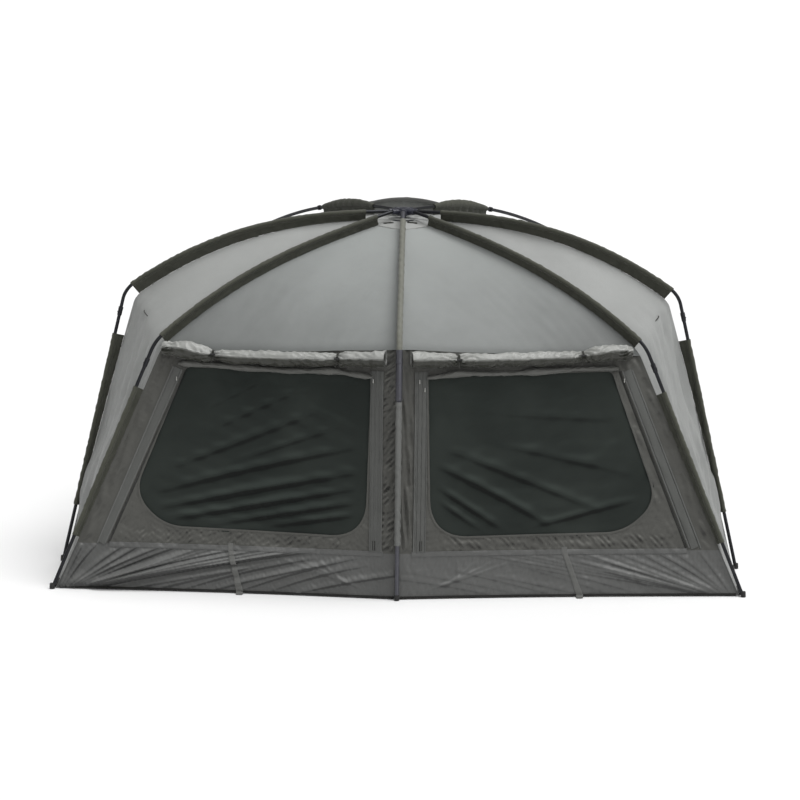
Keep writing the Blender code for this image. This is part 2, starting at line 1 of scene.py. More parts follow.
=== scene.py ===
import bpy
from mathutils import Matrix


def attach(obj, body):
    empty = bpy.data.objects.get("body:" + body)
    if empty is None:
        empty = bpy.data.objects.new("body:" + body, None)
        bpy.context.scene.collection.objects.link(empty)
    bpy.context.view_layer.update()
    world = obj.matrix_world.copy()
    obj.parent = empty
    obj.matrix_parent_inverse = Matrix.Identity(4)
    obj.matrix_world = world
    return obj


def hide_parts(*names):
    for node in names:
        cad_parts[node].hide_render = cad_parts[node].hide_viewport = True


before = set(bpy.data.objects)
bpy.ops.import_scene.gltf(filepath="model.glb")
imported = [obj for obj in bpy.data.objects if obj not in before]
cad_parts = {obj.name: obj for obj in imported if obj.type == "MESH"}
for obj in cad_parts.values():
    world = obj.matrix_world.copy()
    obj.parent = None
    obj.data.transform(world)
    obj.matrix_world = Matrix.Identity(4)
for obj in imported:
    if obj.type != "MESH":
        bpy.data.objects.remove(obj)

"""Looks of a bivvy tent with an outside frame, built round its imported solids.

Metres, +Z up, front doors facing -Y. Left and right are as seen from the front.
"""
import logging
import math
from dataclasses import dataclass, field, replace
from enum import Enum
from functools import lru_cache
from typing import Callable, Optional, Sequence

import bmesh
import bpy
import numpy as np
from mathutils import Matrix, Vector

LOG = logging.getLogger("bivvy")
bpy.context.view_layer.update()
ROOT = "root"

# Sizes shared with the solids
HUB_HEIGHT = 1.50
SOCKET_END = 0.062
SOCKET_DEPTH = 0.026
CURVE_START = 0.070
CROWN_RADIUS = 0.060
POLE_RADIUS = 0.0075
FRONT_POLE_RADIUS = 0.0095
JOINT_TUBE_RADIUS = 0.0145
ELBOW_REACH = 0.045
SLEEVE_STOP = 0.005
KNOB_BELOW_CORNER = 0.085
CROWN_DEPTH = 0.037
FOOT_DEPTH = 0.0135
GROUND_GAP = 0.004
PANEL_SAG = 0.016
FRONT_FOOT = 1.061
REAR_FOOT = 1.540
REAR_AZIMUTH = 145.0
RIB_SHIFT = 0.007
HUB_Y = (FRONT_FOOT + REAR_FOOT * math.cos(math.radians(REAR_AZIMUTH))) / 2

# Stations along a rib: crown, sleeve start, middle and stop, elbow start and middle, leg top, hem, ground
Q_CROWN, Q_SLEEVE, Q_MIDDLE, Q_STOP = 0.0, 1.0, 5.0, 9.0
Q_BEND, Q_ELBOW, Q_LEG, Q_HEM, Q_GROUND = 10.0, 12.0, 14.0, 18.0, 19.0
EAVE = 13.1
NEWTON_STEPS = 14

Array = np.ndarray
Colour = tuple[float, float, float]
Spot = tuple[float, float]
Table = Sequence[Spot]
Relief = Callable[[Array, Array], Array]
UP = np.array([0.0, 0.0, 1.0])


class Side(Enum):
    """Left or right half of the tent, as seen from the front."""
    LEFT = -1
    RIGHT = 1

    @property
    def word(self) -> str:
        """The side's name as the pieces use it."""
        return self.name.lower()


class Slot(Enum):
    """Material slots of the record."""
    ROOF = "roof_cloth"
    DOOR = "door_cloth"
    SLEEVE = "sleeve_cloth"
    NET = "window_mesh"
    WEBBING = "webbing"
    POLE = "pole"
    HUB = "hub_plastic"


# Shader maths

def written(operation: str, reflected: bool = False) -> Callable[["Value", "Value | float"], "Value"]:
    """Write one arithmetic method of Value; a reflected one has the other value first."""
    def method(self: "Value", other: "Value | float") -> "Value":
        """Add the Math node."""
        return self.paint.maths(operation, *((other, self) if reflected else (self, other)))
    return method


class Value:
    """One output socket of a material, with arithmetic written as Python expressions."""

    def __init__(self, paint: "Paint", socket: bpy.types.NodeSocket) -> None:
        """Wrap a socket of the material that paint builds."""
        self.paint, self.socket = paint, socket

    __add__, __radd__ = written("ADD"), written("ADD", True)
    __sub__, __rsub__ = written("SUBTRACT"), written("SUBTRACT", True)
    __mul__, __rmul__ = written("MULTIPLY"), written("MULTIPLY", True)
    __pow__ = written("POWER")

    def __abs__(self) -> "Value":
        """Size without sign."""
        return self.paint.maths("ABSOLUTE", self)

    def sin(self) -> "Value":
        """Sine of an angle in radians."""
        return self.paint.maths("SINE", self)

    def step(self, low: float, high: float) -> "Value":
        """Smooth step from 0 at low to 1 at high."""
        return self.paint.value("ShaderNodeMapRange", {"interpolation_type": "SMOOTHSTEP"},
                                {"Value": self, "From Min": low, "From Max": high}, "Result")


class Paint:
    """Builds one procedural material."""

    def __init__(self, name: str) -> None:
        """Start an empty material with a Principled shader."""
        self.material = bpy.data.materials.new(f"{name}_finish")
        self.material.use_nodes = True
        self.tree = self.material.node_tree
        self.shader = self.tree.nodes["Principled BSDF"]

    def node(self, kind: str, settings: Optional[dict] = None, inputs: Optional[dict] = None) -> bpy.types.Node:
        """Add a node.

        Args:
            kind: the node's type name.
            settings: properties that are set first.
            inputs: values, colours or Value links by socket name or number.

        Returns:
            The new node.
        """
        made = self.tree.nodes.new(kind)
        for key, value in (settings or {}).items():
            setattr(made, key, value)
        for key, value in (inputs or {}).items():
            self.plug(made.inputs[key], value)
        return made

    def value(self, kind: str, settings: Optional[dict] = None, inputs: Optional[dict] = None,
              output: "int | str" = 0) -> Value:
        """Add a node as node() does, and give one of its outputs."""
        return Value(self, self.node(kind, settings, inputs).outputs[output])

    def plug(self, socket: bpy.types.NodeSocket, value: "Value | float | Sequence[float]") -> None:
        """Link a Value to a socket, or set a constant on it."""
        if isinstance(value, Value):
            self.tree.links.new(value.socket, socket)
        elif isinstance(value, tuple) and socket.type == "RGBA":
            socket.default_value = (*value, 1.0)
        else:
            socket.default_value = value

    def maths(self, operation: str, *values: "Value | float") -> Value:
        """A Math node on values or numbers."""
        return self.value("ShaderNodeMath", {"operation": operation}, dict(enumerate(values)))

    def place(self) -> Value:
        """Object coordinates in metres."""
        return self.value("ShaderNodeTexCoord", output="Object")

    def parts(self, vector: Value) -> tuple[Value, Value]:
        """The first two parts of a vector."""
        made = self.node("ShaderNodeSeparateXYZ", None, {0: vector})
        return Value(self, made.outputs[0]), Value(self, made.outputs[1])

    def reach(self) -> Value:
        """Distance from the hub's axis in metres."""
        x, y = self.parts(self.place())
        y = y - HUB_Y
        return (x * x + y * y) ** 0.5

    def cloth(self) -> tuple[Value, Value]:
        """The two cloth directions in metres, from the piece's own UV map."""
        return self.parts(self.value("ShaderNodeUVMap", {"uv_map": "cloth"}))

    def noise(self, scale: float, detail: float = 3.0, roughness: float = 0.5, distortion: float = 0.0,
              vector: Optional[Value] = None) -> Value:
        """Noise between 0 and 1, on Object coordinates unless a vector is given."""
        return self.value("ShaderNodeTexNoise", None, {
            "Vector": vector or self.place(), "Scale": scale, "Detail": detail, "Roughness": roughness,
            "Distortion": distortion}, "Fac")

    def mix(self, factor: "Value | float", first: "Value | Colour", second: "Value | Colour") -> Value:
        """Blend two colours."""
        return self.value("ShaderNodeMix", {"data_type": "RGBA"}, {0: factor, 6: first, 7: second}, 2)

    def bump(self, height: Value, distance: float, strength: float = 1.0, **normal: Value) -> Value:
        """A Bump node on a height in the same unit as distance; Normal may give the one to start from."""
        return self.value("ShaderNodeBump", None, {"Height": height, "Distance": distance, "Strength": strength,
                                                   **normal}, "Normal")

    def creased(self, colour: Value, dark: float, light: float) -> Value:
        """Paint shade into a colour where the folds face down, and a painted highlight where they face up.

        Args:
            colour: the colour on flat cloth.
            dark: its share on the steepest faces that look down, as painted shade.
            light: its share on the steepest faces that look up, as a painted highlight.

        Returns:
            The colour with painted shade and highlights, by the piece's slope attribute.
        """
        slope = self.value("ShaderNodeAttribute", {"attribute_name": "slope"}, output="Fac")
        # Painted shade and painted highlight copies of the colour.
        low, high = (self.value("ShaderNodeVectorMath", {"operation": "MULTIPLY"}, {0: colour, 1: (share,) * 3})
                     for share in (dark, light))
        return self.mix((slope * -1.0).step(0.06, 0.75), self.mix(slope.step(0.06, 0.75), colour, low), high)

    def dress(self, **sockets: "Value | float | Sequence[float]") -> bpy.types.Material:
        """Set the shader's sockets; underscores stand for the blanks in their names.

        Returns:
            The finished material.
        """
        for key, value in sockets.items():
            self.plug(self.shader.inputs[key.replace("_", " ")], value)
        return self.material


@dataclass(frozen=True)
class Finish:
    """What a piece is made of: its colour, and the one where it is worn."""
    name: str
    colour: Colour
    worn: Colour


@dataclass(frozen=True)
class ClothFinish(Finish):
    """Coated woven cloth: a fine weave, soft stains and a faint crumple."""
    roughness: float = 0.62
    weave: float = 0.0016
    weave_depth: float = 0.00025
    crumple: float = 0.0010
    crumple_scale: float = 22.0
    gloss: float = 0.32
    # Painted shade: from near to far metres off the hub's axis the colour darkens to share of itself.
    fade: Colour = (0.3, 1.1, 1.0)
    # Dark band on the low side of a roll: partly the lining's darker cloth, partly painted shade under the roll.
    lining_and_shade: Optional[Colour] = None

    def material(self) -> bpy.types.Material:
        """Build the material: painted shade darkens it between two distances from the hub, a dark band low on rolls
        is partly the lining's darker cloth and partly painted shade, and folds get painted shade and highlights.
        """
        paint = Paint(self.name)
        across, along = paint.cloth()
        turn = 2 * math.pi / self.weave
        threads = (across * turn).sin() * (along * turn).sin() * 0.5 + 0.5
        broad = paint.noise(2.2, 4.0, 0.55, 0.6)
        fine = paint.noise(130.0, 3.0, 0.65)
        streaks = paint.noise(9.0, 3.0, 0.6, 1.2)
        shade = broad.step(0.30, 0.72) * 0.45 + fine * 0.35 + streaks.step(0.35, 0.8) * 0.20
        colour = paint.mix(shade, self.colour, self.worn)
        # Painted shade that darkens the cloth further from the hub.
        near, far, share = self.fade
        if share < 1.0:
            deep = paint.mix(shade, tuple(c * share for c in self.colour), tuple(c * share for c in self.worn))
            colour = paint.mix((paint.reach() + broad * 0.12 - near) * (1 / (far - near)), colour, deep)
        # Low side of the roll: partly the lining's darker cloth, partly painted shade.
        if self.lining_and_shade:
            edge = along + (streaks - 0.5) * 0.020
            low = edge.step(0.140, 0.176) * (1 - edge.step(0.238, 0.254))
            colour = paint.mix(low, colour, self.lining_and_shade)
        normal = paint.bump(paint.noise(self.crumple_scale, 4.0, 0.55, 0.9), self.crumple)
        normal = paint.bump(threads + fine * 0.6, self.weave_depth, 0.8, Normal=normal)
        # Painted shade and highlights on the folds, by the slope attribute.
        return paint.dress(Base_Color=paint.creased(colour, 0.34, 1.55), Normal=normal,
                           Roughness=self.roughness - 0.08 + streaks * 0.16, Specular_IOR_Level=self.gloss,
                           Sheen_Weight=0.15, Sheen_Roughness=0.5)


@dataclass(frozen=True)
class NetFinish(Finish):
    """Fine insect mesh, close enough to look like a dark cloth."""
    pitch: float = 0.0024

    def material(self) -> bpy.types.Material:
        """Build the material."""
        paint = Paint(self.name)
        across, along = paint.cloth()
        turn = 2 * math.pi / self.pitch
        holes = (abs((across * turn).sin()) * abs((along * turn).sin())).step(0.15, 0.7)
        broad = paint.noise(3.0, 3.0, 0.5, 0.4).step(0.3, 0.7)
        fine = paint.noise(160.0, 2.0, 0.6)
        colour = paint.mix(broad * 0.55 + fine * 0.25 + (1 - holes) * 0.2, self.colour, self.worn)
        # Painted shade and highlights on the net's folds, by the slope attribute.
        return paint.dress(Base_Color=paint.creased(colour, 0.30, 1.75), Roughness=0.78 + fine * 0.15,
                           Normal=paint.bump(1 - holes, 0.0003, 0.5), Specular_IOR_Level=0.22, Sheen_Weight=0.1)


@dataclass(frozen=True)
class WebbingFinish(Finish):
    """Woven tape with ribs across it."""
    rib: float = 0.0028

    def material(self) -> bpy.types.Material:
        """Build the material."""
        paint = Paint(self.name)
        across, along = paint.cloth()
        turn = 2 * math.pi / self.rib
        ribs = (along * turn + (across * turn * 0.5).sin() * 1.4).sin() * 0.5 + 0.5
        fine = paint.noise(150.0, 3.0, 0.7)
        stain = paint.noise(14.0, 3.0, 0.6).step(0.3, 0.75)
        return paint.dress(Base_Color=paint.mix(ribs * 0.3 + fine * 0.35 + stain * 0.35, self.colour, self.worn),
                           Roughness=0.74 + fine * 0.18, Normal=paint.bump(ribs + fine * 0.5, 0.0004, 0.8),
                           Specular_IOR_Level=0.3, Sheen_Weight=0.15)


@dataclass(frozen=True)
class TubeFinish(Finish):
    """Anodised aluminium tube with fine draw lines and rubbed spots."""
    roughness: float = 0.30

    def material(self) -> bpy.types.Material:
        """Build the material."""
        paint = Paint(self.name)
        across, along = paint.cloth()
        lines = paint.value("ShaderNodeCombineXYZ", None, {0: across * 900.0, 1: along * 14.0})
        drawn = paint.noise(1.0, 2.0, 0.6, vector=lines)
        spots = paint.noise(38.0, 4.0, 0.7, 0.5).step(0.52, 0.74)
        return paint.dress(Base_Color=paint.mix(drawn * 0.35 + spots * 0.5, self.colour, self.worn),
                           Roughness=self.roughness + drawn * 0.14 + spots * 0.10,
                           Normal=paint.bump(drawn, 0.00012, 0.6), Metallic=0.75)


@dataclass(frozen=True)
class MouldedFinish(Finish):
    """Moulded plastic or rubber with a spark-eroded grain and pale scuffs."""
    roughness: float = 0.42
    depth: float = 0.00025

    def material(self) -> bpy.types.Material:
        """Build the material."""
        paint = Paint(self.name)
        grain = paint.noise(420.0, 3.0, 0.6)
        scuffs = paint.noise(60.0, 5.0, 0.7, 1.0).step(0.55, 0.78)
        return paint.dress(Base_Color=paint.mix(scuffs * 0.6 + grain * 0.15, self.colour, self.worn),
                           Roughness=self.roughness + scuffs * 0.2 + grain * 0.08,
                           Normal=paint.bump(grain, self.depth, 0.7))


# Roof and side walls are one cloth: the roof copy is set a little darker to offset its stronger light, and both paint
# shade further from the hub.
ROOF_CLOTH = ClothFinish("roof_cloth", (0.324, 0.342, 0.334), (0.286, 0.300, 0.292), 0.50, crumple=0.0006,
                         fade=(0.25, 1.10, 0.50))
SIDE_CLOTH = ClothFinish("side_cloth", (0.350, 0.358, 0.350), (0.300, 0.308, 0.298), 0.52, crumple=0.0008,
                         fade=(1.0, 1.6, 0.72))
CROWN_CLOTH = ClothFinish("crown_cloth", (0.370, 0.378, 0.366), (0.320, 0.328, 0.316), 0.50, crumple=0.0006)
HOOD_CLOTH = ClothFinish("hood_cloth", (0.172, 0.173, 0.166), (0.138, 0.139, 0.132), 0.60)
DOOR_CLOTH = ClothFinish("door_cloth", (0.086, 0.086, 0.078), (0.062, 0.062, 0.056), 0.60)
HEM_CLOTH = ClothFinish("hem_cloth", (0.098, 0.100, 0.097), (0.074, 0.075, 0.072), 0.42, gloss=0.5)
FLAP_CLOTH = ClothFinish("flap_cloth", (0.098, 0.101, 0.096), (0.078, 0.080, 0.075), 0.55)
PIPING_CLOTH = ClothFinish("piping_cloth", (0.135, 0.138, 0.132), (0.100, 0.103, 0.098), 0.55)
SLEEVE_CLOTH = ClothFinish("sleeve_cloth", (0.062, 0.064, 0.048), (0.040, 0.042, 0.031), 0.72, crumple=0.0016,
                           crumple_scale=46.0)
PALE_SLEEVE_CLOTH = ClothFinish("pale_sleeve_cloth", (0.150, 0.152, 0.128), (0.112, 0.114, 0.094), 0.68)
# Its dark low band is partly the lining and partly painted shade under the roll.
ROLL_CLOTH = ClothFinish("roll_cloth", (0.360, 0.366, 0.350), (0.235, 0.240, 0.222), 0.32, crumple=0.0014,
                         crumple_scale=30.0, gloss=0.60, lining_and_shade=(0.012, 0.013, 0.006))
ROLL_UNDER_CLOTH = ClothFinish("roll_under_cloth", (0.098, 0.099, 0.090), (0.066, 0.067, 0.060), 0.42, gloss=0.5)
WINDOW_NET = NetFinish("window_mesh", (0.013, 0.017, 0.015), (0.027, 0.033, 0.029))
OLIVE_WEBBING = WebbingFinish("olive_webbing", (0.150, 0.152, 0.145), (0.112, 0.113, 0.107))
DARK_WEBBING = WebbingFinish("dark_webbing", (0.038, 0.038, 0.032), (0.024, 0.025, 0.021))
ZIP_TAPE = WebbingFinish("zip_tape", (0.016, 0.016, 0.014), (0.010, 0.010, 0.009), 0.0020)
THREAD = MouldedFinish("thread", (0.105, 0.108, 0.090), (0.145, 0.148, 0.130), 0.80, 0.0002)
POLE_TUBE = TubeFinish("pole", (0.021, 0.022, 0.025), (0.046, 0.047, 0.052))
JOINT_TUBE = TubeFinish("joint_tube", (0.085, 0.086, 0.100), (0.150, 0.150, 0.165), 0.32)
HUB_NYLON = MouldedFinish("hub_plastic", (0.020, 0.022, 0.036), (0.110, 0.112, 0.130), 0.34)
RUBBER = MouldedFinish("foot_rubber", (0.018, 0.018, 0.018), (0.050, 0.050, 0.048), 0.75, 0.0004)
ZIP_NYLON = MouldedFinish("zip", (0.030, 0.031, 0.028), (0.075, 0.076, 0.070), 0.45, 0.0001)
PULL_METAL = TubeFinish("zip_pull", (0.420, 0.420, 0.400), (0.560, 0.560, 0.540), 0.35)


@lru_cache(maxsize=None)
def material_of(finish: Finish) -> bpy.types.Material:
    """The finish's material, built on first use."""
    return finish.material()


# Number helpers

def unit(vectors: Array) -> Array:
    """Vectors of length one along the last axis."""
    return vectors / np.maximum(np.linalg.norm(vectors, axis=-1, keepdims=True), 1e-12)


def smooth(value: Array, low: float, high: float) -> Array:
    """Smooth step from 0 at low to 1 at high; low may be the larger."""
    t = np.clip((value - low) / (high - low), 0.0, 1.0)
    return t * t * (3 - 2 * t)


def look_up(at: Array, table: Table) -> Array:
    """Values between the (place, value) pairs of a table."""
    places, values = zip(*table)
    return np.interp(at, places, values)


def softened(values: Array, count: int) -> Array:
    """Values averaged with an odd count of neighbours."""
    kernel = np.hanning(count)
    return np.convolve(np.pad(values, count // 2, mode="edge"), kernel / kernel.sum(), mode="valid")


def curved(a: Array, b: Array, c: Array, t: Array) -> Array:
    """A bend from a to c that heads for b, at shares t."""
    return a * (1 - t) ** 2 + b * 2 * t * (1 - t) + c * t ** 2


def lengths(points: Array) -> Array:
    """Metres along a line of points."""
    return np.concatenate([[0.0], np.cumsum(np.linalg.norm(np.diff(points, axis=0), axis=-1))])


def pairs(u: "Array | float", v: "Array | float") -> Array:
    """Two measures, spread over one grid, as rows of (u, v)."""
    return np.stack(np.broadcast_arrays(u, v), -1).reshape(-1, 2)


def grounded(points: Array) -> Array:
    """Points kept above the ground."""
    points[..., 2] = np.maximum(points[..., 2], GROUND_GAP)
    return points


def rings(frames: Array, theta: Array, r: Array) -> Array:
    """Points of rings square to a line.

    Args:
        frames: the line's points, and its unit vectors at the angles 0 and 90 degrees.
        theta: the angles, shared by all rings or a row for each.
        r: distances from the line, spread over the rings and angles.

    Returns:
        A grid of points, a ring in each row.
    """
    centre, way, up = frames
    spoke = way[:, None] * np.cos(theta)[..., None] + up[:, None] * np.sin(theta)[..., None]
    return centre[:, None] + spoke * r[..., None]


def cloth_area(points: Array) -> float:
    """Area of a grid of points."""
    over, down = points[:-1, 1:] - points[:-1, :-1], points[1:, :-1] - points[:-1, :-1]
    return float(np.linalg.norm(np.cross(over, down), axis=-1).sum())


# Mesh helpers

def quads(rows: int, columns: int, wrap: bool = False, first: int = 0) -> Array:
    """Quads of a grid of points stored row by row.

    Args:
        rows: number of rows.
        columns: number of columns.
        wrap: join the last column to the first.
        first: index of the grid's first point.

    Returns:
        An array of four point numbers a face.
    """
    i = np.arange(rows - 1)[:, None]
    j = np.arange(columns if wrap else columns - 1)[None, :]
    k = (j + 1) % columns
    faces = np.stack([i * columns + j, i * columns + k, (i + 1) * columns + k, (i + 1) * columns + j], -1)
    return faces.reshape(-1, 4) + first


def capped(rows: int, columns: int) -> list[Sequence[int]]:
    """Faces of a tube of rings with a cap at each end."""
    return [*quads(rows, columns, True), range(columns), range((rows - 1) * columns, rows * columns)]


def rim(rows: int, columns: int) -> Array:
    """Point numbers round the edge of a grid, in order."""
    return np.concatenate([np.arange(columns), np.arange(1, rows) * columns + columns - 1,
                           (rows - 1) * columns + np.arange(columns - 2, -1, -1),
                           np.arange(rows - 2, 0, -1) * columns])


def thick_grid(outer: Array, inner: Array, wrap: bool = False) -> tuple[Array, Array]:
    """Close two equal grids, the two faces of a cloth, into one body.

    Args:
        outer: points of the outer face, rows by columns by three.
        inner: points of the inner face.
        wrap: the columns run round a loop.

    Returns:
        The points and the faces.
    """
    rows, columns = outer.shape[:2]
    half = rows * columns
    faces = [quads(rows, columns, wrap), quads(rows, columns, wrap, half)[:, ::-1]]
    edges = [np.arange(columns), (rows - 1) * columns + np.arange(columns)] if wrap else [rim(rows, columns)]
    for edge in edges:
        after = np.roll(edge, -1)
        faces.append(np.stack([edge, after, after + half, edge + half], -1))
    return np.concatenate([outer.reshape(-1, 3), inner.reshape(-1, 3)]), np.concatenate(faces)


def grid_normals(points: Array, outward_hint: Array, wrap: bool = False) -> Array:
    """Unit normals of a grid of points, on the hint's side."""
    down = np.gradient(points, axis=0)
    over = np.roll(points, -1, 1) - np.roll(points, 1, 1) if wrap else np.gradient(points, axis=1)
    normal = unit(np.cross(over, down))
    turn = np.sign((normal * outward_hint).sum(-1, keepdims=True))
    turn[turn == 0] = 1.0
    return normal * turn


def linked(name: str, data: Optional[bpy.types.ID]) -> bpy.types.Object:
    """A new object in the scene."""
    obj = bpy.data.objects.new(name, data)
    bpy.context.scene.collection.objects.link(obj)
    return obj


def settle(obj: bpy.types.Object, replaces: Sequence[str] = ()) -> bpy.types.Object:
    """Ride the piece on the tent and the nodes it stands for."""
    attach(obj, ROOT)
    if replaces:
        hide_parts(*replaces)
    LOG.info("piece: %s", obj.name)
    return obj


def piece(name: str, verts: Array, faces: Sequence, finish: Finish, slot: Slot, uv: Optional[Array] = None,
          replaces: Sequence[str] = (), crease: float = 40.0, slope: Optional[Array] = None) -> bpy.types.Object:
    """Make a finished piece that rides on the tent; its faces are turned to point out.

    Args:
        name: the piece's name.
        verts: points, three numbers each.
        faces: point numbers of each face.
        finish: what it is made of.
        slot: not used.
        uv: two cloth measures in metres for each point.
        replaces: CAD nodes that it stands for.
        crease: faces that meet at more than this angle in degrees keep a sharp edge.
        slope: a value at each point of one face of the cloth, mostly how much the folds face down; the material
            paints shade where it is above 0 and a highlight where it is below.

    Returns:
        The object.
    """
    mesh = bpy.data.meshes.new(name)
    mesh.from_pydata(verts.tolist(), [], [list(map(int, face)) for face in faces])
    work = bmesh.new()
    work.from_mesh(mesh)
    bmesh.ops.recalc_face_normals(work, faces=work.faces)
    if work.calc_volume(signed=True) < 0:
        bmesh.ops.reverse_faces(work, faces=work.faces)
    work.to_mesh(mesh)
    work.free()
    tilt = np.zeros(len(mesh.vertices), dtype=np.float32)
    if slope is not None:
        tilt[:] = np.tile(np.ravel(slope), len(tilt) // np.size(slope))
    mesh.attributes.new("slope", "FLOAT", "POINT").data.foreach_set("value", tilt)
    corners = np.empty(len(mesh.loops), dtype=np.int32)
    mesh.loops.foreach_get("vertex_index", corners)
    spots = verts[:, :2] if uv is None else uv
    mesh.uv_layers.new(name="cloth").data.foreach_set("uv", spots[corners].astype(np.float32).ravel())
    mesh.shade_smooth()
    mesh.set_sharp_from_angle(angle=math.radians(crease))
    mesh.materials.append(material_of(finish))
    return settle(linked(name, mesh), replaces)


def sewn(name: str, faces: tuple[Array, Array], uv: tuple[Array, Array], finish: Finish, slot: Slot,
         replaces: Sequence[str] = (), slope: Optional[Array] = None, wrap: bool = False) -> bpy.types.Object:
    """Make a piece of cloth from its two faces.

    Args:
        name: the piece's name.
        faces: grids of points of its outer and its inner face.
        uv: the two cloth measures in metres, spread over the grid.
        finish: what it is made of.
        slot: the record's material slot.
        replaces: CAD nodes that it stands for.
        slope: how much the folds face down, over the grid, for the painted shade and highlights.
        wrap: the columns run round a loop.

    Returns:
        The object.
    """
    verts, quad_faces = thick_grid(*faces, wrap)
    flat = pairs(*uv)
    return piece(name, verts, quad_faces, finish, slot, np.concatenate([flat, flat]), replaces, slope=slope)


def stretch(made: bpy.types.Object, width: float, length: float, area: float, *rests_on: str) -> None:
    """Work out the cloth area of a sheet that is stretched over other pieces, at most that of its cut; the result is
    not kept.

    Args:
        made: not used.
        width: width of its flat cut in metres.
        length: length of its flat cut.
        area: area of its cloth, at most that of the cut.
        rests_on: not used.
    """
    width, length = float(width), float(length)
    round(min(area, width * length), 4)


# Wrinkles

@dataclass(frozen=True)
class Fold:
    """A ridge in a cloth, from one point to another of its flat pattern."""
    start: Spot
    end: Spot
    width: float
    height: float
    bow: float = 0.0
    fade: float = 0.7
    lean: float = 0.0

    def relief(self, x: Array, y: Array) -> Array:
        """Height of the ridge at points of the pattern; lean makes its left side steep and its right side flat."""
        dx, dy = self.end[0] - self.start[0], self.end[1] - self.start[1]
        length = math.hypot(dx, dy)
        along = ((x - self.start[0]) * dx + (y - self.start[1]) * dy) / length ** 2
        across = ((y - self.start[1]) * dx - (x - self.start[0]) * dy) / length
        across = across - self.bow * 4 * along * (1 - along)
        ends = np.sin(np.pi * np.clip(along, 0.0, 1.0)) ** self.fade
        width = self.width * (1 - self.lean * np.sign(across))
        return self.height * ends * np.exp(-(across / width) ** 2)


class Ripple:
    """Seeded waves of about one length, for wrinkles that don't repeat."""

    def __init__(self, seed: int, length: float, stretch: Spot = (1.0, 1.0), turn: float = 0.0,
                 waves: int = 10) -> None:
        """Draw the waves.

        Args:
            seed: start of the random draws.
            length: usual wave length in metres.
            stretch: how much longer the waves are along the turned x and y axes.
            turn: angle of the stretched axes in degrees.
            waves: how many waves are added up.
        """
        rng = np.random.default_rng(seed)
        angle = rng.uniform(0, 2 * np.pi, waves)
        pace = 2 * np.pi / length * rng.uniform(0.7, 1.4, waves)
        self.kx, self.ky = pace * np.cos(angle) / stretch[0], pace * np.sin(angle) / stretch[1]
        self.phase = rng.uniform(0, 2 * np.pi, waves)
        self.turn = math.radians(turn)
        self.gain = math.sqrt(2.0 / waves)

    def __call__(self, x: Array, y: Array) -> Array:
        """The waves' sum at points of the pattern, mostly between -1 and 1."""
        a = x * math.cos(self.turn) + y * math.sin(self.turn)
        b = y * math.cos(self.turn) - x * math.sin(self.turn)
        total = np.zeros(np.broadcast(x, y).shape)
        for kx, ky, phase in zip(self.kx, self.ky, self.phase):
            total += np.sin(kx * a + ky * b + phase)
        return total * self.gain

    def crease(self, x: Array, y: Array) -> Array:
        """The same waves with sharp ridges, from about -1 to 0."""
        return -np.abs(self(x, y)) ** 0.8


def total_relief(folds: Sequence[Fold], x: Array, y: Array) -> Array:
    """Sum of the folds' ridges."""
    total = np.zeros(np.broadcast(x, y).shape)
    for fold in folds:
        total += fold.relief(x, y)
    return total


# The frame's curves

def outward(azimuth: float) -> Array:
    """Level unit vector away from the hub; azimuth 0 looks to the front, positive to the left."""
    angle = math.radians(azimuth)
    return np.array([-math.sin(angle), -math.cos(angle), 0.0])


def sideways(azimuth: float) -> Array:
    """Level unit vector square to a rib's upright plane, towards larger azimuths."""
    angle = math.radians(azimuth)
    return np.array([-math.cos(angle), math.sin(angle), 0.0])


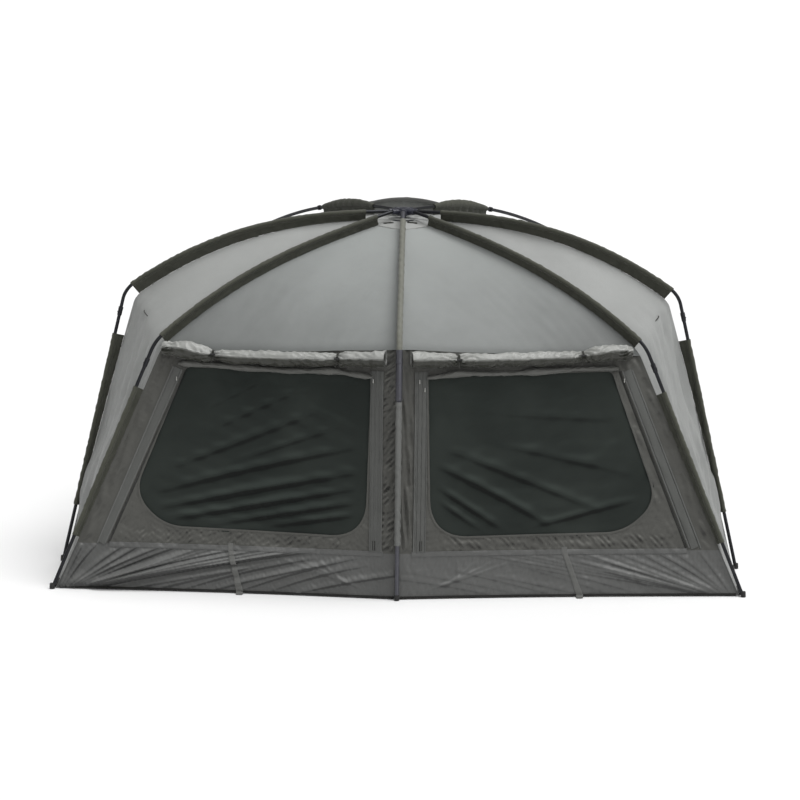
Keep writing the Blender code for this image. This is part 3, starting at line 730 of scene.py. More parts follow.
@dataclass(frozen=True)
class RibCurve:
    """One rib in its upright plane: it falls by slope * r + curve * r ** power from the hub.

    The skin lies elbow_depth inside the pole's centre line at the elbow and closes up to the foot by
    the power taper; the lower sleeve runs from lower_start below the corner to lower_end over the ground.
    """
    name: str
    azimuth: float
    slope: float
    curve: float
    power: float
    corner: float
    foot: float
    sleeve_start: float
    elbow_depth: float
    taper: float
    lower_start: float = 0.200
    lower_end: float = 0.250
    sleeve_end: Optional[float] = None
    shift: float = 0.0
    radius: float = POLE_RADIUS
    tube: float = POLE_RADIUS

    def height(self, r: Array) -> Array:
        """Height of the pole's centre line at a distance from the hub's axis."""
        reach = np.maximum(0.0, r - CURVE_START)
        return HUB_HEIGHT - self.slope * reach - self.curve * reach ** self.power

    def over(self, r: float) -> Array:
        """The point of the upper centre line at a distance from the hub's axis."""
        return np.array([r, float(self.height(np.array(r)))])

    def corner_point(self) -> Array:
        """Where the upper curve and the leg would meet without the bend."""
        return self.over(self.corner)

    def leg_way(self) -> Array:
        """Unit vector down the leg."""
        return unit(np.array([self.foot, 0.0]) - self.corner_point())

    def leg_point(self, below: float) -> Array:
        """A point of the leg's centre line, at a distance below the corner."""
        return self.corner_point() + self.leg_way() * below

    def at_height(self, z: float) -> Array:
        """The point of the leg's centre line at a height above the ground."""
        return self.corner_point() + self.leg_way() * ((z - self.corner_point()[1]) / self.leg_way()[1])

    def below_corner(self, z: float) -> float:
        """How far below the corner the leg is at a height above the ground."""
        return float(np.linalg.norm(self.at_height(z) - self.corner_point()))

    def _middle(self) -> float:
        """Where the middle station lies: the end of a short sleeve, else half way to the elbow."""
        return self.sleeve_end or (self.sleeve_start + self.corner - ELBOW_REACH - SLEEVE_STOP) / 2

    def line(self, q: Array) -> Array:
        """Centre line at stations, as (r, z)."""
        q = np.asarray(q, float)
        turn = self.corner - ELBOW_REACH
        r = np.interp(q, [Q_CROWN, Q_SLEEVE, Q_MIDDLE, Q_STOP, Q_BEND],
                      [CROWN_RADIUS, self.sleeve_start, self._middle(), turn - SLEEVE_STOP, turn])
        upper = np.stack([r, self.height(r)], -1)
        top = self.leg_point(ELBOW_REACH)
        t = np.clip((q - Q_BEND) / (Q_LEG - Q_BEND), 0, 1)[..., None]
        elbow = curved(self.over(turn), self.corner_point(), top, t)
        hem, ground = self.at_height(self.lower_end), self.at_height(GROUND_GAP)
        w = np.clip((q - Q_LEG) / (Q_HEM - Q_LEG), 0, 1)[..., None]
        leg = top + (hem - top) * w + (ground - hem) * np.clip(q - Q_HEM, 0, None)[..., None]
        return np.where((q < Q_BEND)[..., None], upper, np.where((q < Q_LEG)[..., None], elbow, leg))

    def normal(self, q: Array) -> Array:
        """Outward unit normals of the centre line in the rib's plane."""
        q, step = np.asarray(q, float), 0.02
        way = unit(self.line(np.minimum(q + step, Q_GROUND - 0.01)) - self.line(np.maximum(q - step, Q_CROWN)))
        return np.stack([-way[..., 1], way[..., 0]], -1)

    def depth(self, point: Array) -> Array:
        """How far the skin lies inside the pole's centre line at points (r, z)."""
        out = np.minimum(1.0, (point[..., 0] - CROWN_RADIUS) / (self.corner - CROWN_RADIUS))
        up = np.clip(point[..., 1] / self.corner_point()[1], 0.0, 1.0)
        over_roof = CROWN_DEPTH + (self.elbow_depth - CROWN_DEPTH) * out
        return np.minimum(over_roof, FOOT_DEPTH + (self.elbow_depth - FOOT_DEPTH) * up ** self.taper)

    def station(self, r: float) -> float:
        """Station of the roof at a distance from the hub's axis, near the hub."""
        return float(np.interp(r, [CROWN_RADIUS, self.sleeve_start, self.sleeve_start + 0.2],
                               [Q_CROWN, Q_SLEEVE, Q_SLEEVE + 0.2 * 4 / (self._middle() - self.sleeve_start)]))

    def seam(self, q: Array) -> Array:
        """The skin's seam line under the pole at stations, as (r, z)."""
        point = self.line(q)
        return point - self.normal(q) * self.depth(point)[..., None]

    def place(self, points: Array, across: "Array | float" = 0.0) -> Array:
        """Points (r, z) of the rib's plane, moved across it, in world space."""
        points, across = np.asarray(points, float), np.asarray(across, float) + self.shift
        flat = outward(self.azimuth) * points[..., :1] + sideways(self.azimuth) * across[..., None]
        return flat + np.array([0.0, HUB_Y, 0.0]) + points[..., 1:] * UP

    def turn(self, vectors: Array) -> Array:
        """Directions (r, z) of the rib's plane in world space."""
        return outward(self.azimuth) * vectors[..., :1] + vectors[..., 1:] * UP


def rib_pair(name: str, left: RibCurve) -> dict[Side, RibCurve]:
    """The left rib and its mirror image, with their names."""
    return {Side.LEFT: replace(left, name=f"{name}_left"),
            Side.RIGHT: replace(left, name=f"{name}_right", azimuth=-left.azimuth, shift=-left.shift)}


CENTRE = RibCurve("front_centre", 0.0, 0.385, 0.20, 2, 0.870, FRONT_FOOT, 0.134, 0.050, 1.0, lower_start=0.254,
                  lower_end=0.225, radius=FRONT_POLE_RADIUS, tube=JOINT_TUBE_RADIUS)
FRONT = rib_pair("front", RibCurve("", 57.6, 0.236, 0.132, 2.85, 1.236, 1.730, 0.142, 0.041, 0.6,
                                   lower_start=0.210, lower_end=0.220, shift=-RIB_SHIFT))
SIDES = rib_pair("side", RibCurve("", 72.8, -0.012, 0.2094, 2.52, 1.252, REAR_FOOT, 0.172, 0.052, 1.7,
                                  shift=RIB_SHIFT))
REAR = rib_pair("rear", RibCurve("", REAR_AZIMUTH, -0.010, 0.172, 2, 1.240, REAR_FOOT, 0.235, 0.052, 1.7,
                                 sleeve_end=0.655))
RIBS = (CENTRE, *FRONT.values(), *SIDES.values(), *REAR.values())


class Gore:
    """The skin between two ribs, as a surface over stations q and a share t across."""

    def __init__(self, first: RibCurve, second: RibCurve) -> None:
        """Set up the gore; second has the larger azimuth."""
        self.first, self.second = first, second
        self.table_q = np.linspace(0.0, Q_GROUND, 1901)
        self.edges = [rib.place(rib.seam(self.table_q), inset) for rib, inset in ((first, 0.0003), (second, -0.0003))]
        self.ways = [rib.turn(rib.normal(self.table_q)) for rib in (first, second)]

    def _look(self, table: Array, q: Array) -> Array:
        """Interpolate a table of vectors at stations."""
        return np.stack([np.interp(q, self.table_q, table[:, i]) for i in range(3)], -1)

    def surface(self, q: "Array | float", t: "Array | float") -> tuple[Array, Array]:
        """Points and outward unit vectors of the plain skin."""
        q, t = np.broadcast_arrays(np.asarray(q, float), np.asarray(t, float))
        a, b = (self._look(edge, q) for edge in self.edges)
        way_a, way_b = (self._look(way, q) for way in self.ways)
        way = unit(way_a * (1 - t[..., None]) + way_b * t[..., None])
        sag = PANEL_SAG * np.minimum(1.0, np.linalg.norm(a - b, axis=-1)) * 4 * t * (1 - t)
        return a * (1 - t[..., None]) + b * t[..., None] - way * sag[..., None], way

    def pattern(self, q: Array, t: Array) -> tuple[Array, Array]:
        """Flat pattern of a grid: metres across from the middle, and metres down from the crown."""
        left, middle, right = (self.surface(q, share)[0] for share in (0.0, 0.5, 1.0))
        width = np.linalg.norm(right - left, axis=-1)
        return (t[None, :] - 0.5) * width[:, None], np.repeat(lengths(middle)[:, None], len(t), axis=1)

    def stations(self, stop: float, step: float) -> Array:
        """Stations from the crown to a stop, spread so that the rows lie about a step apart on the skin."""
        fine = np.linspace(0.0, stop, 600)
        length = lengths(self.surface(fine, 0.5)[0])
        return np.interp(np.linspace(0, length[-1], max(3, int(round(length[-1] / step)) + 1)), length, fine)


@dataclass
class SkinPanel:
    """One cut piece of the skin, from seam to seam, with its wrinkles."""
    name: str
    gore: Gore
    stop: float
    finish: ClothFinish
    relief: Relief
    step: float
    columns: int
    thickness: float = 0.0014

    def build(self) -> None:
        """Make the sheet and work out its cut size, which is not kept."""
        q, t = self.gore.stations(self.stop, self.step), np.linspace(0.0, 1.0, self.columns)
        plain, way = self.gore.surface(q[:, None], t[None, :])
        x, y = self.gore.pattern(q, t)
        lift = self.relief(x, y) * smooth(np.minimum(t, 1 - t), 0.0, 0.035)[None, :]
        outer = grounded(plain + grid_normals(plain, way) * lift[..., None])
        inner = grounded(outer - grid_normals(outer, way) * self.thickness)
        made = sewn(f"cloth_{self.name}", (outer, inner), (x, y), self.finish, Slot.ROOF, [self.name])
        stretch(made, x.max() - x.min(), y.max(), cloth_area(plain),
                *(f"cloth_upper_sleeve_{rib.name}" for rib in (self.gore.first, self.gore.second)))


def side_relief(seed: int, flip: int) -> Relief:
    """Wrinkles of a side panel: long upright folds below the elbows and a soft drift."""
    upright = Ripple(seed, 0.085, (1.0, 7.0), 3.0 * flip, 12)
    broad = Ripple(seed + 1, 0.30, (1.0, 1.6), 10.0 * flip)
    fine = Ripple(seed + 2, 0.030, (1.0, 3.0), 20.0 * flip, 12)
    return lambda x, y: (smooth(y, 1.06, 1.35) * (0.0058 * upright(x, y) + 0.0009 * fine(x, y))
                         + 0.0030 * broad(x, y))


def roof_relief(seed: int) -> Relief:
    """Faint drift of a tight roof panel."""
    broad = Ripple(seed, 0.34, (1.0, 1.8), 8.0)
    fine = Ripple(seed + 1, 0.070, (1.0, 2.5), 15.0)
    return lambda x, y: 0.0024 * broad(x, y) + 0.0005 * fine(x, y) * smooth(y, 0.2, 0.9)


@dataclass
class Skin:
    """All the light cloth between the ribs, one continuous sheet in each bay."""
    seed: int = 100
    gores: dict[str, Gore] = field(default_factory=dict)

    def build(self) -> None:
        """Set up the surface of each bay, in order round the hub, and make its sheet."""
        left, right = Side.LEFT, Side.RIGHT
        turned_round = replace(REAR[right], azimuth=360.0 - REAR_AZIMUTH)
        self.gores = {
            "roof_front_left": Gore(CENTRE, FRONT[left]),
            "side_panel_left": Gore(FRONT[left], SIDES[left]),
            "rear_side_panel_left": Gore(SIDES[left], REAR[left]),
            "rear_panel": Gore(REAR[left], turned_round),
            "rear_side_panel_right": Gore(REAR[right], SIDES[right]),
            "side_panel_right": Gore(SIDES[right], FRONT[right]),
            "roof_front_right": Gore(FRONT[right], CENTRE),
        }
        for number, (name, gore) in enumerate(self.gores.items()):
            seed = self.seed + 10 * number
            step, columns = (0.017, 90) if name == "rear_panel" else (0.015, 70)
            if name.startswith("roof"):
                SkinPanel(name, gore, EAVE - 0.06, ROOF_CLOTH, roof_relief(seed), step, columns).build()
            else:
                relief = side_relief(seed, 1 if "left" in name else -1)
                SkinPanel(name, gore, Q_GROUND, SIDE_CLOTH, relief, step, columns).build()


# The front doors

def follow(path: Table, step: float) -> tuple[Array, Array, Array]:
    """Even steps along a path of points.

    Args:
        path: corner points.
        step: distance between the steps.

    Returns:
        Points, distances from the start, and unit normals on the path's left.
    """
    corners = np.asarray(path, float)
    run = lengths(corners)
    along = np.linspace(0, run[-1], max(2, int(round(run[-1] / step)) + 1))
    line = np.stack([np.interp(along, run, corners[:, i]) for i in range(2)], -1)
    way = unit(np.gradient(line, axis=0))
    return line, along, np.stack([-way[:, 1], way[:, 0]], -1)


class FrontWall:
    """One half of the front: places and wrinkles by x (metres from the middle, outwards) and height z."""

    def __init__(self, side: Side) -> None:
        """Set up the half, still plain; folds and fine are its wrinkles, stiff the lines without any."""
        self.side = side
        self.gore = Gore(CENTRE, FRONT[side]) if side is Side.LEFT else Gore(FRONT[side], CENTRE)
        self.folds: list[Fold] = []
        self.stiff: list[Fold] = []
        self.fine: Optional[Relief] = None

    def bare(self, q: "Array | float", t: "Array | float") -> tuple[Array, Array]:
        """Points and outward vectors at stations and shares from the middle outwards."""
        t = np.asarray(t, float)
        return self.gore.surface(q, t if self.side is Side.LEFT else 1 - t)

    def solve(self, x: Array, z: Array) -> tuple[Array, Array]:
        """Stations and shares of places on the wall, by Newton steps."""
        x, z = np.broadcast_arrays(np.asarray(x, float), np.asarray(z, float))
        q = np.interp(-z, [-1.05, -0.98, -0.22, 0.0], [Q_ELBOW, Q_LEG, Q_HEM, Q_GROUND])
        t = np.clip(x / np.interp(z, [0.0, 1.05], [1.44, 1.0]), 0.0, 1.0)
        dq, dt, sign = 0.01, 0.001, self.side.value
        for _ in range(NEWTON_STEPS):
            here, at_q, at_t = self.bare(q, t)[0], self.bare(q + dq, t)[0], self.bare(q, t + dt)[0]
            fx, fz = here[..., 0] * sign - x, here[..., 2] - z
            a, b = (at_q[..., 0] - here[..., 0]) * sign / dq, (at_t[..., 0] - here[..., 0]) * sign / dt
            c, d = (at_q[..., 2] - here[..., 2]) / dq, (at_t[..., 2] - here[..., 2]) / dt
            det = a * d - b * c
            det = np.where(np.abs(det) < 1e-9, 1e-9, det)
            q = np.clip(q - np.clip((d * fx - b * fz) / det, -1.0, 1.0), Q_BEND, Q_GROUND)
            t = np.clip(t - np.clip((a * fz - c * fx) / det, -0.3, 0.3), -0.05, 1.05)
        return q, t

    def relief(self, x: Array, z: Array) -> Array:
        """Height of the wrinkles at places on the wall; none at its two side seams."""
        total = total_relief(self.folds, x, z)
        if self.fine:
            total = total + self.fine(x, z)
        for line in self.stiff:
            total = total * (1 - line.relief(x, z))
        return total * smooth(x, 0.0, 0.020) * smooth(self.edge_x(z) - x, 0.0, 0.020)

    def slope(self, x: Array, z: Array) -> Array:
        """How fast the wrinkles rise with height; above 0 they face down and the cloth gets painted shade, below 0 a
        painted highlight.
        """
        return (self.relief(x, z + 0.002) - self.relief(x, z - 0.002)) / 0.004

    def normal(self, q: Array, t: Array, hint: Array) -> Array:
        """True outward normals of the plain wall at stations and shares."""
        dq, dt = 0.02, 0.002
        q, t = np.clip(q, Q_BEND + dq, Q_GROUND - dq), np.clip(t, dt, 1 - dt)
        down = self.bare(q + dq, t)[0] - self.bare(q - dq, t)[0]
        over = self.bare(q, t + dt)[0] - self.bare(q, t - dt)[0]
        way = unit(np.cross(over, down))
        return way * np.sign((way * hint).sum(-1, keepdims=True))

    def at(self, x: "Array | float", z: "Array | float", lift: "Array | float" = 0.0,
           wrinkled: bool = True) -> tuple[Array, Array]:
        """Points on the wall and its outward unit vectors.

        Args:
            x: metres outwards from the middle of the front.
            z: height.
            lift: distance in front of the cloth.
            wrinkled: follow the wrinkles too.

        Returns:
            Points and unit vectors.
        """
        q, t = self.solve(x, z)
        point, way = self.bare(q, t)
        way = self.normal(q, t, way)
        if wrinkled:
            lift = lift + self.relief(np.asarray(x, float), np.asarray(z, float))
        return point + way * np.broadcast_to(lift, point.shape[:-1])[..., None], way

    def edge_x(self, z: "Array | float") -> Array:
        """How far out the wall's outer seam is at a height."""
        points = self.bare(np.linspace(Q_BEND + 1, Q_GROUND, 400), 1.0)[0]
        order = np.argsort(points[:, 2])
        return np.interp(np.asarray(z, float), points[order, 2], points[order, 0] * self.side.value)

    def strip(self, name: str, path: Table, size: Spot, finish: Finish, lift: float, step: float,
              crown: float = 0.0, slot: Slot = Slot.DOOR) -> None:
        """Sew a tape or flap flat on the wall along a path.

        Args:
            name: the piece's name.
            path: corner points (x, z) of its middle line.
            size: its width across the path, and how far it stands up.
            finish: what it is made of.
            lift: gap between it and the cloth.
            step: distance between its rows.
            crown: how much thicker the middle is.
            slot: the record's material slot.
        """
        width, thickness = size
        line, along, normal = follow(path, step)
        shares = np.array([-1.0, -0.92, -0.7, -0.35, 0.0, 0.35, 0.7, 0.92, 1.0])
        x, z = (line[:, None, i] + normal[:, None, i] * shares[None, :] * width / 2 for i in range(2))
        top = thickness * (1 - 0.75 * (np.abs(shares) > 0.95)) + crown * (1 - shares ** 2)
        faces = self.at(x, z, lift + top[None, :] + 0 * x)[0], self.at(x, z, lift)[0]
        sewn(name, faces, (shares[None, :] * width / 2, along[:, None]), finish, slot)


@dataclass(frozen=True)
class WindowShape:
    """The opening of one window: corners (x, z, rounding) on the front wall, from the inner top one down and out."""
    corners: tuple[tuple[float, float, float], ...]

    @property
    def head(self) -> float:
        """Height of the upper edge."""
        return self.corners[0][1]

    @property
    def sill(self) -> float:
        """Height of the lower edge."""
        return self.corners[1][1]

    def even(self, count: int, shrink: float = 0.0) -> Array:
        """Points round the opening in even steps, moved in by shrink."""
        spots = np.array([corner[:2] for corner in self.corners])
        way = unit(np.roll(spots, -1, axis=0) - spots)
        after = np.stack([-way[:, 1], way[:, 0]], -1)
        before = np.roll(after, 1, axis=0)
        spots = spots + (after + before) * shrink / (1 + (after * before).sum(-1, keepdims=True))
        t = np.linspace(0, 1, 28)[:, None]
        points = []
        for i, (_, _, rounding) in enumerate(self.corners):
            here, last, following = spots[i], spots[i - 1], spots[(i + 1) % len(spots)]
            a, b = (here + unit(other - here) * rounding for other in (last, following))
            points.append(curved(a, here, b, t))
        loop = np.concatenate([*points, points[0][:1]])
        run = lengths(loop)
        at = np.linspace(0, run[-1], count, endpoint=False)
        return np.stack([np.interp(at, run, loop[:, i]) for i in range(2)], -1)


def ray_hit(loop: Array, centre: Array, way: Array) -> Array:
    """Where rays from a centre meet a closed outline, as distances.

    Args:
        loop: the outline's points.
        centre: the rays' start.
        way: unit vectors, one for each ray.

    Returns:
        One distance for each ray.
    """
    angle = np.arctan2(loop[:, 1] - centre[1], loop[:, 0] - centre[0])
    reach = np.hypot(loop[:, 0] - centre[0], loop[:, 1] - centre[1])
    order = np.argsort(angle)
    angle, reach = angle[order], reach[order]
    angle = np.concatenate([angle[-1:] - 2 * np.pi, angle, angle[:1] + 2 * np.pi])
    reach = np.concatenate([reach[-1:], reach, reach[:1]])
    return np.interp(np.arctan2(way[:, 1], way[:, 0]), angle, reach)


# Geometry Nodes

class Recipe:
    """Builds one Geometry Nodes tree with named inputs and runs it on line work."""

    def __init__(self, name: str, **kinds: str) -> None:
        """Start a tree with a socket type for each of its inputs, besides Geometry and Material."""
        self.tree = bpy.data.node_groups.new(name, "GeometryNodeTree")
        self.tree.interface.new_socket("Geometry", in_out="OUTPUT", socket_type="NodeSocketGeometry")
        kinds = {"Geometry": "NodeSocketGeometry", **kinds, "Material": "NodeSocketMaterial"}
        self.keys = {key: self.tree.interface.new_socket(key, in_out="INPUT", socket_type=kind).identifier
                     for key, kind in kinds.items()}
        self.entry = self.tree.nodes.new("NodeGroupInput").outputs

    def node(self, kind: str, settings: Optional[dict] = None, inputs: Optional[dict] = None,
             output: "int | str" = 0) -> bpy.types.NodeSocket:
        """Add a node.

        Args:
            kind: the node's type name.
            settings: properties that are set first.
            inputs: constants or source sockets by socket name or number.
            output: name or number of the output that is wanted.

        Returns:
            That output.
        """
        made = self.tree.nodes.new(kind)
        for key, value in (settings or {}).items():
            setattr(made, key, value)
        for key, value in (inputs or {}).items():
            if isinstance(value, bpy.types.NodeSocket):
                self.tree.links.new(value, made.inputs[key])
            else:
                made.inputs[key].default_value = value
        return made.outputs[output]

    def read(self, name: str, kind: str = "FLOAT") -> bpy.types.NodeSocket:
        """A named attribute."""
        return self.node("GeometryNodeInputNamedAttribute", {"data_type": kind}, {"Name": name})

    def store(self, geometry: bpy.types.NodeSocket, name: str, value: bpy.types.NodeSocket, kind: str = "FLOAT",
              domain: str = "POINT") -> bpy.types.NodeSocket:
        """The geometry with a value kept under a name."""
        return self.node("GeometryNodeStoreNamedAttribute", {"data_type": kind, "domain": domain},
                         {"Geometry": geometry, "Name": name, "Value": value})

    def close(self, geometry: bpy.types.NodeSocket) -> "Recipe":
        """End the tree: real geometry with the asked material."""
        real = self.node("GeometryNodeRealizeInstances", None, {0: geometry})
        dressed = self.node("GeometryNodeSetMaterial", None, {"Geometry": real, "Material": self.entry["Material"]})
        self.tree.links.new(dressed, self.tree.nodes.new("NodeGroupOutput").inputs[0])
        return self

    def run(self, name: str, lines: Sequence[dict[str, Array]], finish: Finish, slot: Slot,
            replaces: Sequence[str] = (), crease: float = 40.0, **values: float) -> None:
        """Grow the tree on lines of points and keep the result as a plain mesh.

        Args:
            name: the piece's name.
            lines: one dict a line, with its points under "points" and a value a point under other names.
            finish: what the piece is made of.
            slot: not used.
            replaces: CAD nodes that it stands for.
            crease: faces that meet at more than this angle in degrees keep a sharp edge.
            values: the tree's inputs by name.
        """
        data = {key: np.concatenate([np.asarray(line[key], float) for line in lines]) for key in lines[0]}
        ends = np.cumsum([len(line["points"]) for line in lines])
        edges = [(i, i + 1) for i in range(ends[-1] - 1) if i + 1 not in ends]
        mesh = bpy.data.meshes.new(name + "_line")
        mesh.from_pydata(data.pop("points").tolist(), edges, [])
        for key, found in data.items():
            kind, part = ("FLOAT_VECTOR", "vector") if found.ndim == 2 else ("FLOAT", "value")
            mesh.attributes.new(key, kind, "POINT").data.foreach_set(part, found.astype(np.float32).ravel())
        obj = linked(name, mesh)
        modifier = obj.modifiers.new("grow", "NODES")
        modifier.node_group = self.tree
        for key, value in {"Material": material_of(finish), **values}.items():
            modifier[self.keys[key]] = value
        graph = bpy.context.evaluated_depsgraph_get()
        grown = bpy.data.meshes.new_from_object(obj.evaluated_get(graph), depsgraph=graph)
        obj.modifiers.remove(modifier)
        obj.data = grown
        bpy.data.meshes.remove(mesh)
        grown.name = name
        grown.shade_smooth()
        grown.set_sharp_from_angle(angle=math.radians(crease))
        settle(obj, replaces)


def tube_recipe() -> Recipe:
    """A round tube along lines, as thick as their "width" says, with end caps and a cloth map."""
    recipe = Recipe("tube_along_line", Sides="NodeSocketInt")
    curve = recipe.node("GeometryNodeMeshToCurve", None, {0: recipe.entry["Geometry"]})
    line = recipe.store(curve, "run", recipe.node("GeometryNodeSplineParameter", output="Length"))
    circle = recipe.node("GeometryNodeCurvePrimitiveCircle", None,
                         {"Resolution": recipe.entry["Sides"], "Radius": 1.0})
    ring = recipe.store(circle, "ring", recipe.node("GeometryNodeSplineParameter", output="Factor"))
    skin = recipe.node("GeometryNodeCurveToMesh", None, {"Curve": line, "Profile Curve": ring,
                                                         "Scale": recipe.read("width"), "Fill Caps": True})
    metres = recipe.node("ShaderNodeMath", {"operation": "MULTIPLY"}, {0: recipe.read("ring"), 1: 0.05})
    pair = recipe.node("ShaderNodeCombineXYZ", None, {0: metres, 1: recipe.read("run")})
    return recipe.close(recipe.store(skin, "cloth", pair, "FLOAT2", "CORNER"))


def row_recipe() -> Recipe:
    """Small bars in a row along lines, each pointing the way that the lines' "way" gives."""
    number = "NodeSocketFloat"
    recipe = Recipe("bars_in_a_row", Pitch=number, Length=number, Radius=number, Sides="NodeSocketInt")
    curve = recipe.node("GeometryNodeMeshToCurve", None, {0: recipe.entry["Geometry"]})
    spaced = recipe.node("GeometryNodeResampleCurve", {"mode": "LENGTH"},
                         {"Curve": curve, "Length": recipe.entry["Pitch"]})
    bar = recipe.node("GeometryNodeMeshCylinder", None, {
        "Vertices": recipe.entry["Sides"], "Radius": recipe.entry["Radius"], "Depth": recipe.entry["Length"]}, "Mesh")
    turn = recipe.node("FunctionNodeAlignRotationToVector", {"axis": "Z"},
                       {"Vector": recipe.read("way", "FLOAT_VECTOR")})
    return recipe.close(recipe.node("GeometryNodeInstanceOnPoints", None, {
        "Points": spaced, "Instance": bar, "Rotation": turn}))


TUBES = tube_recipe()
ROWS = row_recipe()


def spun(points: Array, widths: Sequence[float]) -> dict[str, Array]:
    """A line of points with a tube radius at each."""
    return {"points": points, "width": widths}


def turned(start: Array, way: Array, profile: Table) -> dict[str, Array]:
    """A turned part along a straight axis, from (distance, radius) pairs."""
    way = unit(np.asarray(way, float))
    return spun(np.array([start + way * s for s, _ in profile]), [r for _, r in profile])


# The frame's pieces

@dataclass
class Pole:
    """One rib's poles: the curved upper one with its elbow, the ferrule, the leg and its rubber foot."""
    rib: RibCurve
    sides: int = 20
    ferrule: float = 0.034
    long_ferrule: float = 0.165
    wall: float = 0.0024
    bead: float = 0.0010

    def _rings(self, below: float, radius: float) -> dict[str, Array]:
        """A beaded collar on the leg at a distance below the corner."""
        out = radius + self.bead
        return turned(self.rib.place(self.rib.leg_point(below - 0.0055)), self.rib.turn(self.rib.leg_way()), [
            (0.0, radius), (0.0008, out), (0.0034, out), (0.0042, radius + 0.0002), (0.0068, radius + 0.0002),
            (0.0076, out), (0.0102, out), (0.0110, radius)])

    def build_upper(self) -> None:
        """Upper pole from the hub's socket to the ferrule."""
        rib, r = self.rib, self.rib.radius
        reach = np.linspace(SOCKET_END - SOCKET_DEPTH, rib.corner - ELBOW_REACH - 0.0051, 70)
        whole = np.concatenate([
            np.stack([reach, rib.height(reach)], -1), rib.line(np.linspace(Q_BEND, Q_LEG, 22)),
            np.stack([rib.leg_point(KNOB_BELOW_CORNER - 0.001), rib.leg_point(KNOB_BELOW_CORNER)])])
        widths = np.full(len(whole), r)
        if rib.tube > r:
            widths[-5:] = rib.tube
        lines = [spun(rib.place(whole), widths)]
        if rib.sleeve_end:
            near, far = (rib.place(rib.over(rib.sleeve_end + s)) for s in (0.028, 0.042))
            lines.append(turned(near, far - near, [(0, r), (0.001, r + 0.004), (0.013, r + 0.004), (0.014, r)]))
        TUBES.run(f"pole_upper_{rib.name}", lines, JOINT_TUBE if rib.tube > r else POLE_TUBE, Slot.POLE,
                  [f"rib_{rib.name}"], Sides=self.sides)

    def build_lower(self) -> None:
        """Ferrule and leg tube, down into the foot."""
        rib, r = self.rib, self.rib.radius
        long = rib.tube > r
        thick = max(rib.tube, r + self.wall)
        top, length = KNOB_BELOW_CORNER, self.long_ferrule if long else self.ferrule
        profile = [(top, r), (top + 0.0002, thick - 0.0008), (top + 0.0012, thick), (top + length - 0.004, thick),
                   (top + length, r + 0.0012), (top + length + 0.0006, r), (rib.below_corner(0.011), r)]
        lines = [spun(rib.place(np.array([rib.leg_point(s) for s, _ in profile])), [r for _, r in profile]),
                 self._rings(top + 0.001, thick)]
        if long:
            lines.append(self._rings(top + length - 0.014, thick))
        way = rib.turn(np.array([-rib.leg_way()[1], rib.leg_way()[0]]))
        button = rib.place(rib.leg_point(top + length * 0.55)) + way * (thick - 0.001)
        lines.append(turned(button, way, [(0, 0.0034), (0.0022, 0.0034), (0.0030, 0.0024), (0.0032, 0.0008)]))
        TUBES.run(f"pole_lower_{rib.name}", lines, JOINT_TUBE if long else POLE_TUBE, Slot.POLE,
                  [f"leg_{rib.name}"], Sides=self.sides)

    def build_foot(self) -> None:
        """Ribbed rubber foot, flat on the ground."""
        profile = [(0.0, 0.0104), (0.0010, 0.0110), (0.0040, 0.0110), (0.0048, 0.0103), (0.0060, 0.0103),
                   (0.0068, 0.0110), (0.0100, 0.0109), (0.0108, 0.0101), (0.0120, 0.0101), (0.0128, 0.0106),
                   (0.0170, 0.0102), (0.0220, 0.0098), (0.0240, 0.0090)]
        lines = [turned(self.rib.place(np.array([self.rib.foot, 0.0])), UP, profile)]
        TUBES.run(f"foot_{self.rib.name}", lines, RUBBER, Slot.POLE, Sides=28, crease=30.0)

    def build(self) -> None:
        """Make all three pieces."""
        self.build_upper()
        self.build_lower()
        self.build_foot()


